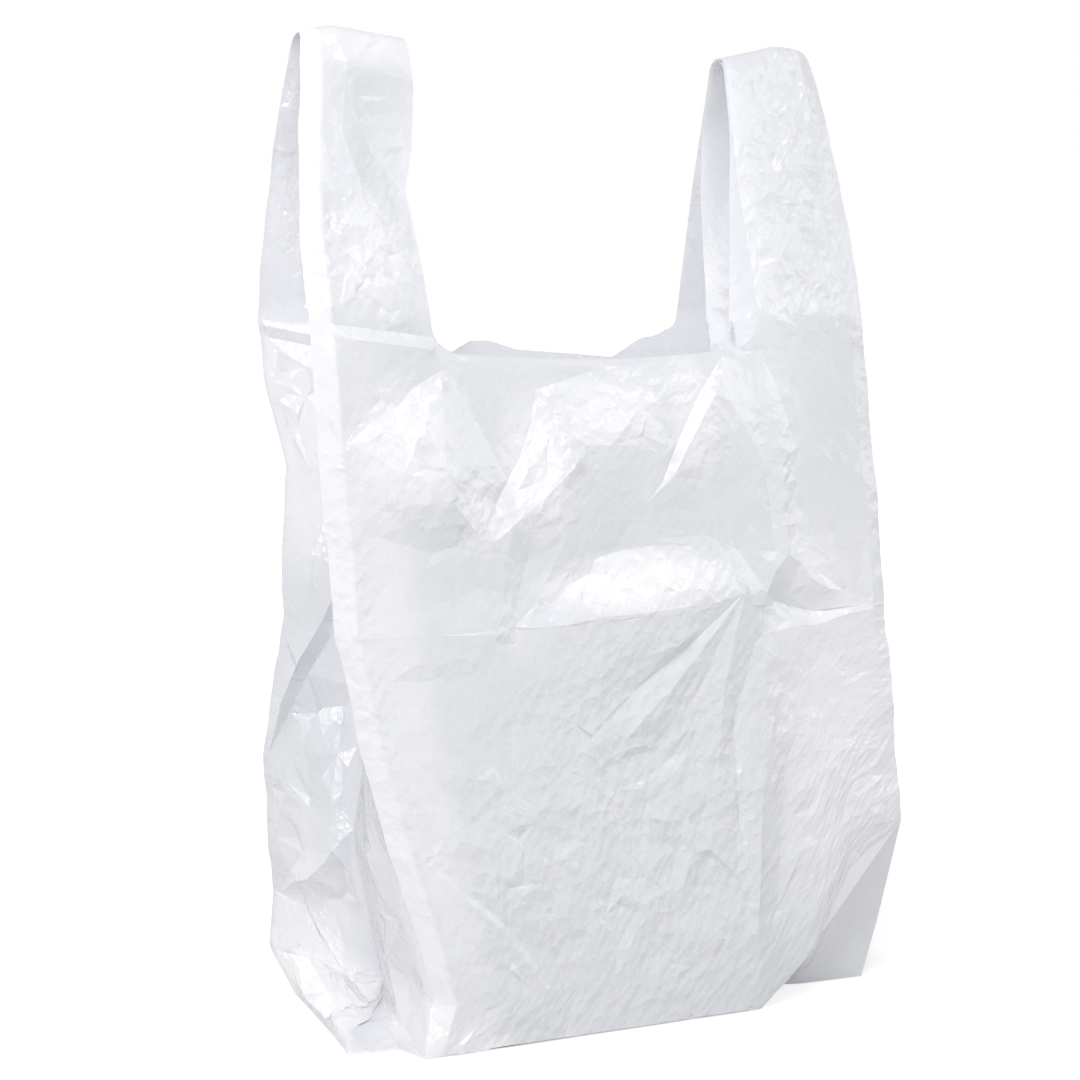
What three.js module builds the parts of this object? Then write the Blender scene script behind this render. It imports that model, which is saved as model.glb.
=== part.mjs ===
import * as THREE from 'three';

// Plastic carrier bag with two loop handles, standing open and empty.
// It is one piece of thin film: a tube with a front panel, a back panel and a gusset
// folded in at each side. The tube is welded shut along the base and at the handle tops,
// and the mouth is punched out between the handles through every layer.
// Lengths are in millimetres. +Z is up, the front panel faces -Y and +X is to its right.

// Cut sizes of the film
const PANEL_WIDTH = 300;
const GUSSET_DEPTH = 80;
const HANDLE_WIDTH = 60;
const MOUTH_CORNER_RADIUS = 15;
const WALL = 0.6;

// How the bag stands
const STANDING_HEIGHT = 500;
const LIP_HEIGHT = 345;
const LOWER_CREASE_HEIGHT = 208;
const UPPER_CREASE_DROP = 6;
const CORNER_LIFT = 88;
const BASE_DEPTH = 118;
const MOUTH_DEPTH = 82;
const CREST_RADIUS = 9;
const HANDLE_LAYER_GAP = 2;
const CREASE_DENT = 1.2;
const FADE_AT_CREASE = 10;

// Fineness of the mesh
const LEG_COLUMNS = 4;
const CORNER_COLUMNS = 2;
const MOUTH_COLUMNS = 9;
const UNDER_ROWS = 3;
const LOWER_ROWS = 13;
const UPPER_ROWS = 9;
const HANDLE_LEG_ROWS = 8;
const CREST_ROWS = 6;
const NORMAL_TURNS = 40;

const halfWidth = PANEL_WIDTH / 2;
const baseHalf = BASE_DEPTH / 2;
const mouthHalf = MOUTH_DEPTH / 2;
const floor = WALL / 2;
const shoulderHeight = LIP_HEIGHT + MOUTH_CORNER_RADIUS;
const crestHeight = STANDING_HEIGHT - WALL / 2;
const legShare = HANDLE_WIDTH / PANEL_WIDTH;
const cornerShare = MOUTH_CORNER_RADIUS / PANEL_WIDTH;
const foldShare = 0.72;

// Levels count up the film: -1 at the base weld, 0 where the film turns under the base,
// 1 at the lower packing crease, 2 at the handle shoulders and 3 at the handle crests.
const SEAL = -1;
const TURN = 0;
const LOWER_CREASE = 1;
const SHOULDER = 2;
const CREST = 3;

// The upper packing crease is a small dent just below the shoulders
const dentLevel = SHOULDER - UPPER_CREASE_DROP / (shoulderHeight - LOWER_CREASE_HEIGHT);

// One share of the way from a to b
const mix = (a, b, share) => a + (b - a) * share;

// The value at `at` on a chain of [place, value, value, ...] rows, straight between rows
function follow(rows, at) {
  let after = rows.findIndex((row) => row[0] >= at);
  after = after < 0 ? rows.length - 1 : Math.max(after, 1);
  const low = rows[after - 1];
  const high = rows[after];
  const share = Math.min(Math.max((at - low[0]) / (high[0] - low[0]), 0), 1);
  return low.slice(1).map((value, index) => mix(value, high[index + 1], share));
}

// How far out the front and back creases stand at a level between the base and the shoulder
const depthAt = (spread) => mix(mouthHalf, baseHalf, spread);

// Height on a crease that leaves the base at `start`, for a level from 0 to 2
function riseFrom(start, level) {
  if (level <= LOWER_CREASE) return mix(start, LOWER_CREASE_HEIGHT, level);
  return mix(LOWER_CREASE_HEIGHT, shoulderHeight, level - LOWER_CREASE);
}

// The ends of the base weld and the lower ends of the gusset folds
const weldLeft = [-halfWidth + 14, -0.63 * baseHalf, floor];
const weldRight = [halfWidth + 14, -0.53 * baseHalf, floor];
const foldEndLeft = [-halfWidth + 47, 0, 18];
const foldEndRight = [halfWidth - 22, 0, 18];
const backCornerLift = 0.68 * CORNER_LIFT;

// Rows of [level, x, y] above the base become rows of [level, x, y, z]
function crease(start, under, rows) {
  const risen = rows.map(([level, x, y]) => [level, x, y, riseFrom(start, level)]);
  return [...under, ...risen];
}

// The six lines that run up the film: four outer creases and two gusset folds
const LINES = {
  frontLeft: crease(
    floor,
    [
      [SEAL, ...weldLeft],
      [-0.5, -halfWidth + 40, -0.7 * baseHalf, floor],
    ],
    [
      [TURN, -halfWidth + 46, -baseHalf],
      [0.12, -halfWidth + 54, -depthAt(0.95)],
      [0.28, -halfWidth + 46, -depthAt(0.78)],
      [0.48, -halfWidth + 34, -depthAt(0.5)],
      [0.72, -halfWidth + 21, -depthAt(0.22)],
      [LOWER_CREASE, -halfWidth + 9, -depthAt(0.06)],
      [1.3, -halfWidth + 6, -depthAt(0.06)],
      [1.6, -halfWidth + 1, -depthAt(0.04)],
      [SHOULDER, -halfWidth - 2, -mouthHalf],
    ],
  ),
  frontRight: crease(
    CORNER_LIFT,
    [
      [SEAL, ...weldRight],
      [-0.5, halfWidth + 24, -0.51 * baseHalf, 0.33 * CORNER_LIFT],
    ],
    [
      [TURN, halfWidth + 31, -depthAt(0.06)],
      [0.5, halfWidth + 25, -depthAt(0.06)],
      [LOWER_CREASE, halfWidth + 18, -depthAt(0.06)],
      [1.2, halfWidth + 15, -depthAt(0.06)],
      [1.6, halfWidth + 8, -depthAt(0.03)],
      [SHOULDER, halfWidth + 2, -mouthHalf],
    ],
  ),
  rightFold: [
    [SEAL, ...foldEndRight],
    [TURN, halfWidth - 25, 0, 34],
    [LOWER_CREASE, halfWidth - 50, 0, LOWER_CREASE_HEIGHT],
    [SHOULDER, halfWidth - 66, 0, LIP_HEIGHT],
  ],
  backRight: crease(
    backCornerLift,
    [
      [SEAL, ...weldRight],
      [-0.66, halfWidth + 26, -0.1 * baseHalf, 0.11 * CORNER_LIFT],
      [-0.33, halfWidth + 32, 0.35 * baseHalf, 0.33 * CORNER_LIFT],
    ],
    [
      [TURN, halfWidth + 29, depthAt(0.3)],
      [0.5, halfWidth + 22, depthAt(0.17)],
      [LOWER_CREASE, halfWidth + 16, depthAt(0.06)],
      [1.5, halfWidth + 6, depthAt(0.06)],
      [SHOULDER, halfWidth + 1, mouthHalf],
    ],
  ),
  backLeft: crease(
    backCornerLift,
    [
      [SEAL, ...weldLeft],
      [-0.75, -halfWidth + 16, -0.07 * baseHalf, 0.03 * CORNER_LIFT],
      [-0.5, -halfWidth + 5, 0.27 * baseHalf, 0.2 * CORNER_LIFT],
      [-0.25, -halfWidth + 5, depthAt(0.9), 0.36 * CORNER_LIFT],
    ],
    [
      [TURN, -halfWidth + 8, depthAt(0.95)],
      [0.5, -halfWidth + 2, depthAt(0.8)],
      [LOWER_CREASE, -halfWidth + 11, depthAt(0.2)],
      [1.2, -halfWidth + 9, depthAt(0.06)],
      [1.5, -halfWidth + 13, depthAt(0.06)],
      [1.75, -halfWidth + 4, depthAt(0.06)],
      [SHOULDER, -halfWidth - 1, mouthHalf],
    ],
  ),
  leftFold: [
    [SEAL, ...foldEndLeft],
    [TURN, -halfWidth + 46, 0, 26],
    [0.42, -halfWidth + 31, 0, 0.48 * LOWER_CREASE_HEIGHT],
    [LOWER_CREASE, -halfWidth + 50, 0, LOWER_CREASE_HEIGHT],
    [SHOULDER, -halfWidth + 68, 0, LIP_HEIGHT],
  ],
};

// Outer crease and inner edge of each handle, as what they stand out from their flat place
const HANDLES = {
  left: {
    side: -1,
    crease: [[2, 2], [2.35, 2], [2.7, -2], [3, -7]],
    edge: [[2, 2], [2.3, 7], [2.45, 9], [2.6, 4], [2.8, 1], [3, 1]],
    drop: [[0, 2], [0.3, 0], [1, 5]],
  },
  right: {
    side: 1,
    crease: [[2, 2], [2.3, 0], [2.5, -3], [2.65, -6], [2.85, -9], [3, -15]],
    edge: [[2, -2], [2.3, -3], [2.5, -4], [3, -3]],
    drop: [[0, 1], [0.35, 0], [1, 7]],
  },
};

// Folds as [from across, from level, to across, to level, height out, reach to the left
// of the fold's direction, reach to the right]. A negative height is a valley.
const FRONT_FOLDS = [
  [0.31, 1.0, 0.7, 1.03, 7, 48, 25],
  [0.27, 1.29, 0.45, 1.6, -5, 22, 30],
  [0.2, 1.57, 0.27, 1.29, -4, 20, 20],
  [0.45, 1.6, 0.37, 1.79, 4, 22, 22],
  [0.1, 1.66, 0.19, 1.43, 4, 20, 24],
  [0.745, 1.91, 0.56, 1.4, 6, 25, 14],
  [0.78, 1.91, 0.79, 1.19, 6, 16, 20],
  [0.76, 1.06, 0.79, 1.19, -4, 20, 20],
  [0.79, 1.19, 0.89, 1.06, -4, 20, 20],
  [0.73, 0.93, 0.72, 0.02, 4, 18, 26],
  [0.7, 1.03, 0.41, 0.72, 3, 16, 16],
  [0.7, 1.03, 0.58, 0.8, -3, 14, 14],
  [0.58, 0.8, 0.51, 0.56, -3, 14, 14],
  [0.7, 1.03, 0.61, 0.64, 3, 12, 12],
  [0.75, 0.89, 0.96, 0.46, 4, 26, 26],
  [0.27, 0.02, 0.134, 0.43, 3, 10, 14],
];
const BACK_FOLDS = [
  [0.2, 1.75, 0.42, 1.2, 5, 24, 24],
  [0.8, 1.8, 0.6, 1.25, 5, 24, 24],
  [0.3, 1.02, 0.72, 0.99, 5, 34, 24],
  [0.28, 0.95, 0.3, 0.1, 3, 22, 22],
  [0.72, 0.9, 0.66, 0.15, 3, 22, 22],
];
const LEFT_GUSSET_BACK_FOLDS = [
  [0.02, 0.55, 0.9, 1.0, 6, 22, 22],
  [0.05, 0.06, 0.85, 0.42, 5, 22, 18],
  [0.3, 1.7, 0.35, 1.15, 4, 18, 18],
  [0.1, -0.45, 0.8, -0.5, 6, 16, 16],
];
const HANDLE_FOLDS = {
  left: [
    [0.45, 2.82, 1.0, 2.46, 3, 14, 14],
    [0.35, 2.59, 0.95, 2.3, -3, 12, 12],
    [0.3, 2.46, 0.95, 2.05, 3, 14, 14],
  ],
  right: [
    [0.3, 2.95, 0.12, 2.45, 4, 12, 14],
    [0.5, 2.6, 0.85, 2.1, 3, 12, 12],
  ],
};

// Height of a level on the flat film, for measuring along folds
const FILM_HEIGHTS = [
  [SEAL, -baseHalf],
  [TURN, 0],
  [LOWER_CREASE, LOWER_CREASE_HEIGHT],
  [SHOULDER, shoulderHeight],
  [CREST, STANDING_HEIGHT],
];

// How far folds lift the film at a place. Each is a tent along its line, which falls to
// nothing over its reach on either side and past its ends.
function foldLift(folds, width, across, level) {
  const x = across * width;
  const z = follow(FILM_HEIGHTS, level)[0];
  let lift = 0;
  for (const [fromAcross, fromLevel, toAcross, toLevel, height, left, right] of folds) {
    const startX = fromAcross * width;
    const startZ = follow(FILM_HEIGHTS, fromLevel)[0];
    const runX = toAcross * width - startX;
    const runZ = follow(FILM_HEIGHTS, toLevel)[0] - startZ;
    const length = Math.hypot(runX, runZ);
    const along = ((x - startX) * runX + (z - startZ) * runZ) / length;
    const off = ((z - startZ) * runX - (x - startX) * runZ) / length;
    const reach = off > 0 ? left : right;
    const past = Math.max(-along, along - length, 0);
    lift += height * Math.max(0, 1 - Math.hypot(off, past) / reach);
  }
  return lift;
}

// Height of the punched mouth's edge, `inside` millimetres in from a handle's inner edge
function mouthEdge(inside) {
  const left = Math.max(MOUTH_CORNER_RADIUS - Math.max(inside, 0), 0);
  return shoulderHeight - Math.sqrt(MOUTH_CORNER_RADIUS ** 2 - left ** 2);
}

// A place on a handle's loop: `across` runs from the outer crease to the inner edge and
// `along` from the front shoulder over the crest to the back shoulder. `depth` sets the
// place in from the outer layer, towards the loop's inside.
function handlePlace(handle, across, along, depth) {
  const drop = follow(handle.drop, across)[0];
  const top = crestHeight - drop;
  const centreZ = top - CREST_RADIUS;
  const footY = mouthHalf + HANDLE_LAYER_GAP * across;
  const slant = Math.atan2(footY - CREST_RADIUS, centreZ - shoulderHeight);
  const legShareOfLoop = HANDLE_LEG_ROWS / (2 * HANDLE_LEG_ROWS + CREST_ROWS);
  const near = along <= 0.5 ? along : 1 - along;
  const facing = along <= 0.5 ? -1 : 1;
  let y;
  let z;
  let tilt;
  if (near <= legShareOfLoop) {
    const up = near / legShareOfLoop;
    const endY = CREST_RADIUS * Math.cos(slant);
    const endZ = centreZ + CREST_RADIUS * Math.sin(slant);
    y = mix(footY, endY, up);
    z = mix(shoulderHeight, endZ, up);
    tilt = slant;
  } else {
    const turn = (near - legShareOfLoop) / (0.5 - legShareOfLoop);
    tilt = mix(slant, Math.PI / 2, turn);
    y = CREST_RADIUS * Math.cos(tilt);
    z = centreZ + CREST_RADIUS * Math.sin(tilt);
  }
  const level = mix(SHOULDER, CREST, (z - shoulderHeight) / (top - shoulderHeight));
  const creaseX = halfWidth + follow(handle.crease, level)[0];
  const edgeX = halfWidth - HANDLE_WIDTH + follow(handle.edge, level)[0];
  const place = new THREE.Vector3(
    handle.side * mix(creaseX, edgeX, across),
    facing * (y - depth * Math.cos(tilt)),
    z - depth * Math.sin(tilt),
  );
  return { place, level, out: new THREE.Vector3(0, facing * Math.cos(tilt), Math.sin(tilt)) };
}

// How far each layer lies in from the loop's outer face. The two lie a small gap apart
// towards the crest and part from the outer crease down to the shoulder, where they meet
// in the panel's own crease.
function layerDepth(layer, across, level) {
  if (layer === 'panel') return 0;
  const gap = HANDLE_LAYER_GAP * Math.min(1, (level - SHOULDER) / 0.15);
  const parted = mouthHalf * 0.72 * Math.max(0, 1 - (level - SHOULDER) / 0.75) ** 1.3;
  return gap + parted * across;
}

// A point on one layer of a handle
function handlePoint(name, layer, across, along) {
  const handle = HANDLES[name];
  const outer = handlePlace(handle, across, along, 0);
  const front = along <= 0.5;
  const lift = front ? foldLift(HANDLE_FOLDS[name], HANDLE_WIDTH, across, outer.level) : 0;
  const fade = Math.min(1, (outer.level - SHOULDER) * 4, (CREST - outer.level) * 8, across * 4);
  const depth = layerDepth(layer, across, outer.level);
  const { place } = handlePlace(handle, across, along, depth);
  return place.addScaledVector(outer.out, lift * Math.max(fade, 0));
}

// The top edge of the front and back panels, in a share from the left crease
function panelTop(front, share) {
  const along = front ? 0 : 1;
  if (share <= legShare) return handlePoint('left', 'panel', share / legShare, along);
  if (share >= 1 - legShare) return handlePoint('right', 'panel', (1 - share) / legShare, along);
  const left = handlePoint('left', 'panel', 1, along);
  const right = handlePoint('right', 'panel', 1, along);
  const middle = (share - legShare) / (1 - 2 * legShare);
  const point = left.clone().lerp(right, middle);
  const inside = (Math.min(share, 1 - share) - legShare) * PANEL_WIDTH;
  point.z = mouthEdge(inside);
  point.y += (front ? -1 : 1) * 2 * Math.sin(Math.PI * middle);
  return point;
}

// The top edge of one half of a gusset, in a share from the outer crease to the fold
function gussetTop(name, front, share) {
  const along = front ? 0 : 1;
  const inHandle = (share * GUSSET_DEPTH) / HANDLE_WIDTH;
  if (inHandle <= 1) return handlePoint(name, 'gusset', inHandle, along);
  const edge = handlePoint(name, 'gusset', 1, along);
  const [x, y] = follow(LINES[`${name}Fold`], SHOULDER);
  const fold = new THREE.Vector3(x, y, LIP_HEIGHT);
  const inside = share * GUSSET_DEPTH - HANDLE_WIDTH;
  const point = edge.clone().lerp(fold, inside / (GUSSET_DEPTH - HANDLE_WIDTH));
  point.z = mouthEdge(inside);
  return point;
}

// In-between places of the level lines, as [share, x, y, z] from the left crease
const weldRows = [
  [0, ...weldLeft],
  [0.15, -0.67 * halfWidth, -0.34 * baseHalf, floor],
  [0.3, -0.4 * halfWidth, -0.07 * baseHalf, floor],
  [foldShare, 0.56 * halfWidth, -0.17 * baseHalf, floor],
  [0.88, 0.83 * halfWidth, -0.49 * baseHalf, floor],
  [1, ...weldRight],
];
const turnFoldX = halfWidth - 66;
const frontTurnRows = [
  [0, ...follow(LINES.frontLeft, TURN)],
  [foldShare, turnFoldX, -baseHalf, floor],
  [0.8, halfWidth - 30, -depthAt(0.72), 0.31 * CORNER_LIFT],
  [0.9, halfWidth - 6, -depthAt(0.35), 0.74 * CORNER_LIFT],
  [1, ...follow(LINES.frontRight, TURN)],
];
const backTurnRows = [
  [0, ...follow(LINES.backLeft, TURN)],
  [0.08, -halfWidth + 30, depthAt(1), 0.25 * CORNER_LIFT],
  [0.16, -halfWidth + 55, baseHalf, floor],
  [0.84, halfWidth - 20, baseHalf, floor],
  [0.92, halfWidth + 5, depthAt(0.8), 0.3 * CORNER_LIFT],
  [1, ...follow(LINES.backRight, TURN)],
];
const frontCreaseRows = [
  [0, ...follow(LINES.frontLeft, LOWER_CREASE)],
  [0.35, -halfWidth * 0.22, -depthAt(0.3), LOWER_CREASE_HEIGHT + 1],
  [0.69, halfWidth * 0.48, -depthAt(0.5), LOWER_CREASE_HEIGHT + 6],
  [0.85, halfWidth * 0.8, -depthAt(0.2), LOWER_CREASE_HEIGHT - 2],
  [1, ...follow(LINES.frontRight, LOWER_CREASE)],
];
const backCreaseRows = [
  [0, ...follow(LINES.backLeft, LOWER_CREASE)],
  [0.4, -halfWidth * 0.15, depthAt(0.5), LOWER_CREASE_HEIGHT],
  [0.7, halfWidth * 0.45, depthAt(0.4), LOWER_CREASE_HEIGHT + 3],
  [1, ...follow(LINES.backRight, LOWER_CREASE)],
];

// The lower edges of the gussets rise from the weld's ends to the ends of the folds
const gussetWeldRows = {
  left: [
    [0, ...weldLeft],
    [0.35, -halfWidth + 18, -0.47 * baseHalf, 4],
    [0.6, -halfWidth + 33, -0.34 * baseHalf, 5],
    [0.85, -halfWidth + 44, -0.1 * baseHalf, 12],
    [1, ...foldEndLeft],
  ],
  right: [
    [0, ...weldRight],
    [0.2, halfWidth + 9, -0.45 * baseHalf, 4],
    [0.6, halfWidth - 5, -0.25 * baseHalf, 8],
    [1, ...foldEndRight],
  ],
};
const leftBackTurnRows = [
  [0, ...follow(LINES.backLeft, TURN)],
  [0.25, -halfWidth + 20, 0.55 * baseHalf, backCornerLift - 2],
  [0.5, -halfWidth + 27, 0.34 * baseHalf, 39],
  [0.72, -halfWidth + 34, 0.17 * baseHalf, 28],
  [1, ...follow(LINES.leftFold, TURN)],
];

const vector = (values) => new THREE.Vector3(...values);
const onLine = (name, level) => vector(follow(LINES[name], level));
const straight = (from, to, level) => (share) =>
  onLine(from, level).lerp(onLine(to, level), share);
const through = (rows) => (share) => vector(follow(rows, share));

// Each panel runs from one line to the next, counter-clockwise seen from below the mouth,
// with the shape of its level line at the weld, the base, the lower crease and the top.
const PANELS = {
  front: {
    from: 'frontLeft',
    to: 'frontRight',
    width: PANEL_WIDTH,
    folds: FRONT_FOLDS,
    levels: [
      through(weldRows),
      through(frontTurnRows),
      through(frontCreaseRows),
      (share) => panelTop(true, share),
    ],
  },
  rightGussetFront: {
    from: 'frontRight',
    to: 'rightFold',
    width: GUSSET_DEPTH,
    folds: [],
    levels: [
      through(gussetWeldRows.right),
      straight('frontRight', 'rightFold', TURN),
      straight('frontRight', 'rightFold', LOWER_CREASE),
      (share) => gussetTop('right', true, share),
    ],
  },
  rightGussetBack: {
    from: 'rightFold',
    to: 'backRight',
    width: GUSSET_DEPTH,
    folds: [],
    levels: [
      (share) => through(gussetWeldRows.right)(1 - share),
      straight('rightFold', 'backRight', TURN),
      straight('rightFold', 'backRight', LOWER_CREASE),
      (share) => gussetTop('right', false, 1 - share),
    ],
  },
  back: {
    from: 'backRight',
    to: 'backLeft',
    width: PANEL_WIDTH,
    folds: BACK_FOLDS,
    levels: [
      (share) => through(weldRows)(1 - share),
      (share) => through(backTurnRows)(1 - share),
      (share) => through(backCreaseRows)(1 - share),
      (share) => panelTop(false, 1 - share),
    ],
  },
  leftGussetBack: {
    from: 'backLeft',
    to: 'leftFold',
    width: GUSSET_DEPTH,
    folds: LEFT_GUSSET_BACK_FOLDS,
    levels: [
      through(gussetWeldRows.left),
      through(leftBackTurnRows),
      straight('backLeft', 'leftFold', LOWER_CREASE),
      (share) => gussetTop('left', false, share),
    ],
  },
  leftGussetFront: {
    from: 'leftFold',
    to: 'frontLeft',
    width: GUSSET_DEPTH,
    folds: [],
    levels: [
      (share) => through(gussetWeldRows.left)(1 - share),
      straight('leftFold', 'frontLeft', TURN),
      straight('leftFold', 'frontLeft', LOWER_CREASE),
      (share) => gussetTop('left', true, 1 - share),
    ],
  },
};

// A point of a panel before its folds: a Coons patch between the two lines beside it and
// the two level lines above and below it
function panelBase(panel, share, level) {
  const low = Math.min(Math.floor(level), LOWER_CREASE);
  const up = level - low;
  const below = panel.levels[low - SEAL];
  const above = panel.levels[low + 1 - SEAL];
  const atTop = low + 1 === SHOULDER;
  const start = onLine(panel.from, level);
  const end = onLine(panel.to, level);
  const startTop = atTop ? above(0) : onLine(panel.from, low + 1);
  const endTop = atTop ? above(1) : onLine(panel.to, low + 1);
  if (atTop) {
    start.addScaledVector(startTop.clone().sub(onLine(panel.from, SHOULDER)), up);
    end.addScaledVector(endTop.clone().sub(onLine(panel.to, SHOULDER)), up);
  }
  return new THREE.Vector3()
    .addScaledVector(below(share), 1 - up)
    .addScaledVector(above(share), up)
    .addScaledVector(start, 1 - share)
    .addScaledVector(end, share)
    .addScaledVector(onLine(panel.from, low), -(1 - share) * (1 - up))
    .addScaledVector(onLine(panel.to, low), -share * (1 - up))
    .addScaledVector(startTop, -(1 - share) * up)
    .addScaledVector(endTop, -share * up);
}

// The point of a panel with its folds, raised along the film's outward side
function panelPoint(name, share, level) {
  const panel = PANELS[name];
  const point = panelBase(panel, share, level);
  const step = 0.01;
  const aside = share < 0.5 ? step : -step;
  const upward = level < LOWER_CREASE ? step : -step;
  const across = panelBase(panel, share + aside, level).sub(point).divideScalar(aside);
  const rising = panelBase(panel, share, level + upward).sub(point).divideScalar(upward);
  const out = across.cross(rising).normalize();
  const fromCrease = Math.min(share, 1 - share) * panel.width;
  const fade = Math.min(1, fromCrease / FADE_AT_CREASE);
  let lift = foldLift(panel.folds, panel.width, share, level) * fade;
  if (level < TURN) lift *= name === 'leftGussetBack' ? 1 : 0;
  if (level === dentLevel) lift -= CREASE_DENT * fade;
  point.addScaledVector(out, lift);
  point.z = Math.max(point.z, floor);
  return point;
}

// Places from one value to another in even steps, the first left out
function spread(from, to, count) {
  const shares = Array.from({ length: count }, (_, index) => mix(from, to, (index + 1) / count));
  shares[count - 1] = to;
  return shares;
}

// Shares of a panel's columns, closer together round the mouth's corners
function cornerShares(from, width, direction) {
  return Array.from({ length: CORNER_COLUMNS }, (_, index) => {
    const angle = ((index + 1) / CORNER_COLUMNS) * (Math.PI / 2);
    return from + (direction * MOUTH_CORNER_RADIUS * (1 - Math.cos(angle))) / width;
  });
}
function panelShares() {
  const leftCorner = cornerShares(legShare, PANEL_WIDTH, 1);
  const rightCorner = cornerShares(1 - legShare, PANEL_WIDTH, -1).reverse();
  const middleEnd = 1 - legShare - cornerShare;
  const turnAt = Math.min(Math.max(foldShare, legShare + cornerShare * 2), middleEnd - 0.01);
  return [
    0,
    ...spread(0, legShare, LEG_COLUMNS),
    ...leftCorner,
    ...spread(legShare + cornerShare, turnAt, MOUTH_COLUMNS - 1),
    ...rightCorner,
    1 - legShare,
    ...spread(1 - legShare, 1, LEG_COLUMNS),
  ];
}
function gussetShares() {
  const inHandle = HANDLE_WIDTH / GUSSET_DEPTH;
  return [
    0,
    ...spread(0, inHandle, LEG_COLUMNS),
    ...cornerShares(inHandle, GUSSET_DEPTH, 1),
    1,
  ];
}

const acrossPanel = panelShares();
const acrossGusset = gussetShares();
const fromFold = acrossGusset.map((share) => 1 - share).reverse();
const RING = [
  ['front', acrossPanel],
  ['rightGussetFront', acrossGusset],
  ['rightGussetBack', fromFold],
  ['back', acrossPanel.map((share) => 1 - share).reverse()],
  ['leftGussetBack', acrossGusset],
  ['leftGussetFront', fromFold],
];
const columns = RING.flatMap(([name, shares]) =>
  shares.slice(0, -1).map((share) => ({ name, share })));
const rows = [
  SEAL,
  ...spread(SEAL, TURN, UNDER_ROWS),
  ...spread(TURN, LOWER_CREASE, LOWER_ROWS),
  ...spread(LOWER_CREASE, dentLevel, UPPER_ROWS),
  SHOULDER,
];

// The film's middle surface, as points and triangles
const points = [];
const triangles = [];
const addPoint = (point) => points.push(point) - 1;

// Adds a four-sided face as two triangles, split along its shorter diagonal. A triangle
// that has closed up to nothing is dropped.
function addFace([a, b, c, d]) {
  const short = points[a].distanceTo(points[c]) <= points[b].distanceTo(points[d]);
  const halves = short ? [[a, b, c], [a, c, d]] : [[a, b, d], [b, c, d]];
  triangles.push(...halves.filter((half) => new Set(half).size === 3));
}

// Columns that share a point on the weld: the ring is closed like a zip, front on back
const frontCount = acrossPanel.length - 1;
const gussetCount = acrossGusset.length - 1;
const ringCount = columns.length;
const weldPartner = (column) =>
  (2 * frontCount + 2 * gussetCount - column + ringCount) % ringCount;
const grid = rows.map((level, row) =>
  columns.map(({ name, share }, column) => {
    if (row === 0 && weldPartner(column) < column) return -1;
    return addPoint(panelPoint(name, share, level));
  }));
grid[0] = grid[0].map((id, column) => (id < 0 ? grid[0][weldPartner(column)] : id));
for (let row = 1; row < rows.length; row += 1) {
  for (let column = 0; column < ringCount; column += 1) {
    const next = (column + 1) % ringCount;
    addFace([grid[row - 1][column], grid[row - 1][next], grid[row][next], grid[row][column]]);
  }
}

// The handles rise from the top row. Each is a strip of two layers: the gusset's layer
// inside, from its inner edge to the outer crease, and the panel's layer back from there.
const top = grid[rows.length - 1];
const loopRows = 2 * HANDLE_LEG_ROWS + CREST_ROWS;
const legSteps = Array.from({ length: LEG_COLUMNS + 1 }, (_, step) => step);
const STRIP = [
  ...legSteps.map((step) => ({ layer: 'gusset', step })).reverse(),
  ...legSteps.map((step) => ({ layer: 'panel', step })),
];
function addHandle(name, frontCrease, backCrease, direction) {
  const topId = (creaseColumn, { layer, step }, way) =>
    top[(creaseColumn + way * (layer === 'panel' ? step : -step) + ringCount) % ringCount];
  let previous = STRIP.map((place) => topId(frontCrease, place, direction));
  for (let row = 1; row <= loopRows; row += 1) {
    const current = STRIP.map((place) => {
      if (row === loopRows) return topId(backCrease, place, -direction);
      return addPoint(handlePoint(name, place.layer, place.step / LEG_COLUMNS, row / loopRows));
    });
    for (let index = 1; index < STRIP.length; index += 1) {
      const face = [previous[index - 1], previous[index], current[index], current[index - 1]];
      addFace(direction > 0 ? face : face.reverse());
    }
    previous = current;
  }
}
addHandle('left', 0, frontCount * 2 + gussetCount * 2, 1);
addHandle('right', frontCount, frontCount + gussetCount * 2, -1);

// The film's outward direction at each point: the one that turns least away from all the
// faces round it. It starts as their mean and leans a little, again and again, to the face
// that it is furthest from.
const facesRound = points.map(() => []);
for (const triangle of triangles) {
  const corners = triangle.map((id) => points[id]);
  const normal = new THREE.Triangle(...corners).getNormal(new THREE.Vector3());
  triangle.forEach((id) => facesRound[id].push(normal));
}
const outward = facesRound.map((normals) => {
  const direction = new THREE.Vector3();
  normals.forEach((normal) => direction.add(normal));
  direction.normalize();
  for (let turn = 0; turn < NORMAL_TURNS; turn += 1) {
    const closeness = normals.map((normal) => normal.dot(direction));
    const furthest = normals[closeness.indexOf(Math.min(...closeness))];
    direction.addScaledVector(furthest, 1 / (turn + 3)).normalize();
  }
  return direction;
});

// The wall: the middle surface moved half a wall out and half a wall in, closed by rims
const positions = [];
for (const sideways of [WALL / 2, -WALL / 2]) {
  points.forEach((point, id) => {
    const moved = point.clone().addScaledVector(outward[id], sideways);
    positions.push(...moved);
  });
}
const inside = points.length;
const index = [];
const edges = new Set();
for (const [a, b, c] of triangles) {
  index.push(a, b, c, a + inside, c + inside, b + inside);
  for (const [from, to] of [[a, b], [b, c], [c, a]]) edges.add(`${from} ${to}`);
}
for (const edge of edges) {
  const [from, to] = edge.split(' ').map(Number);
  if (!edges.has(`${to} ${from}`)) {
    index.push(from, from + inside, to + inside, from, to + inside, to);
  }
}

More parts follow.
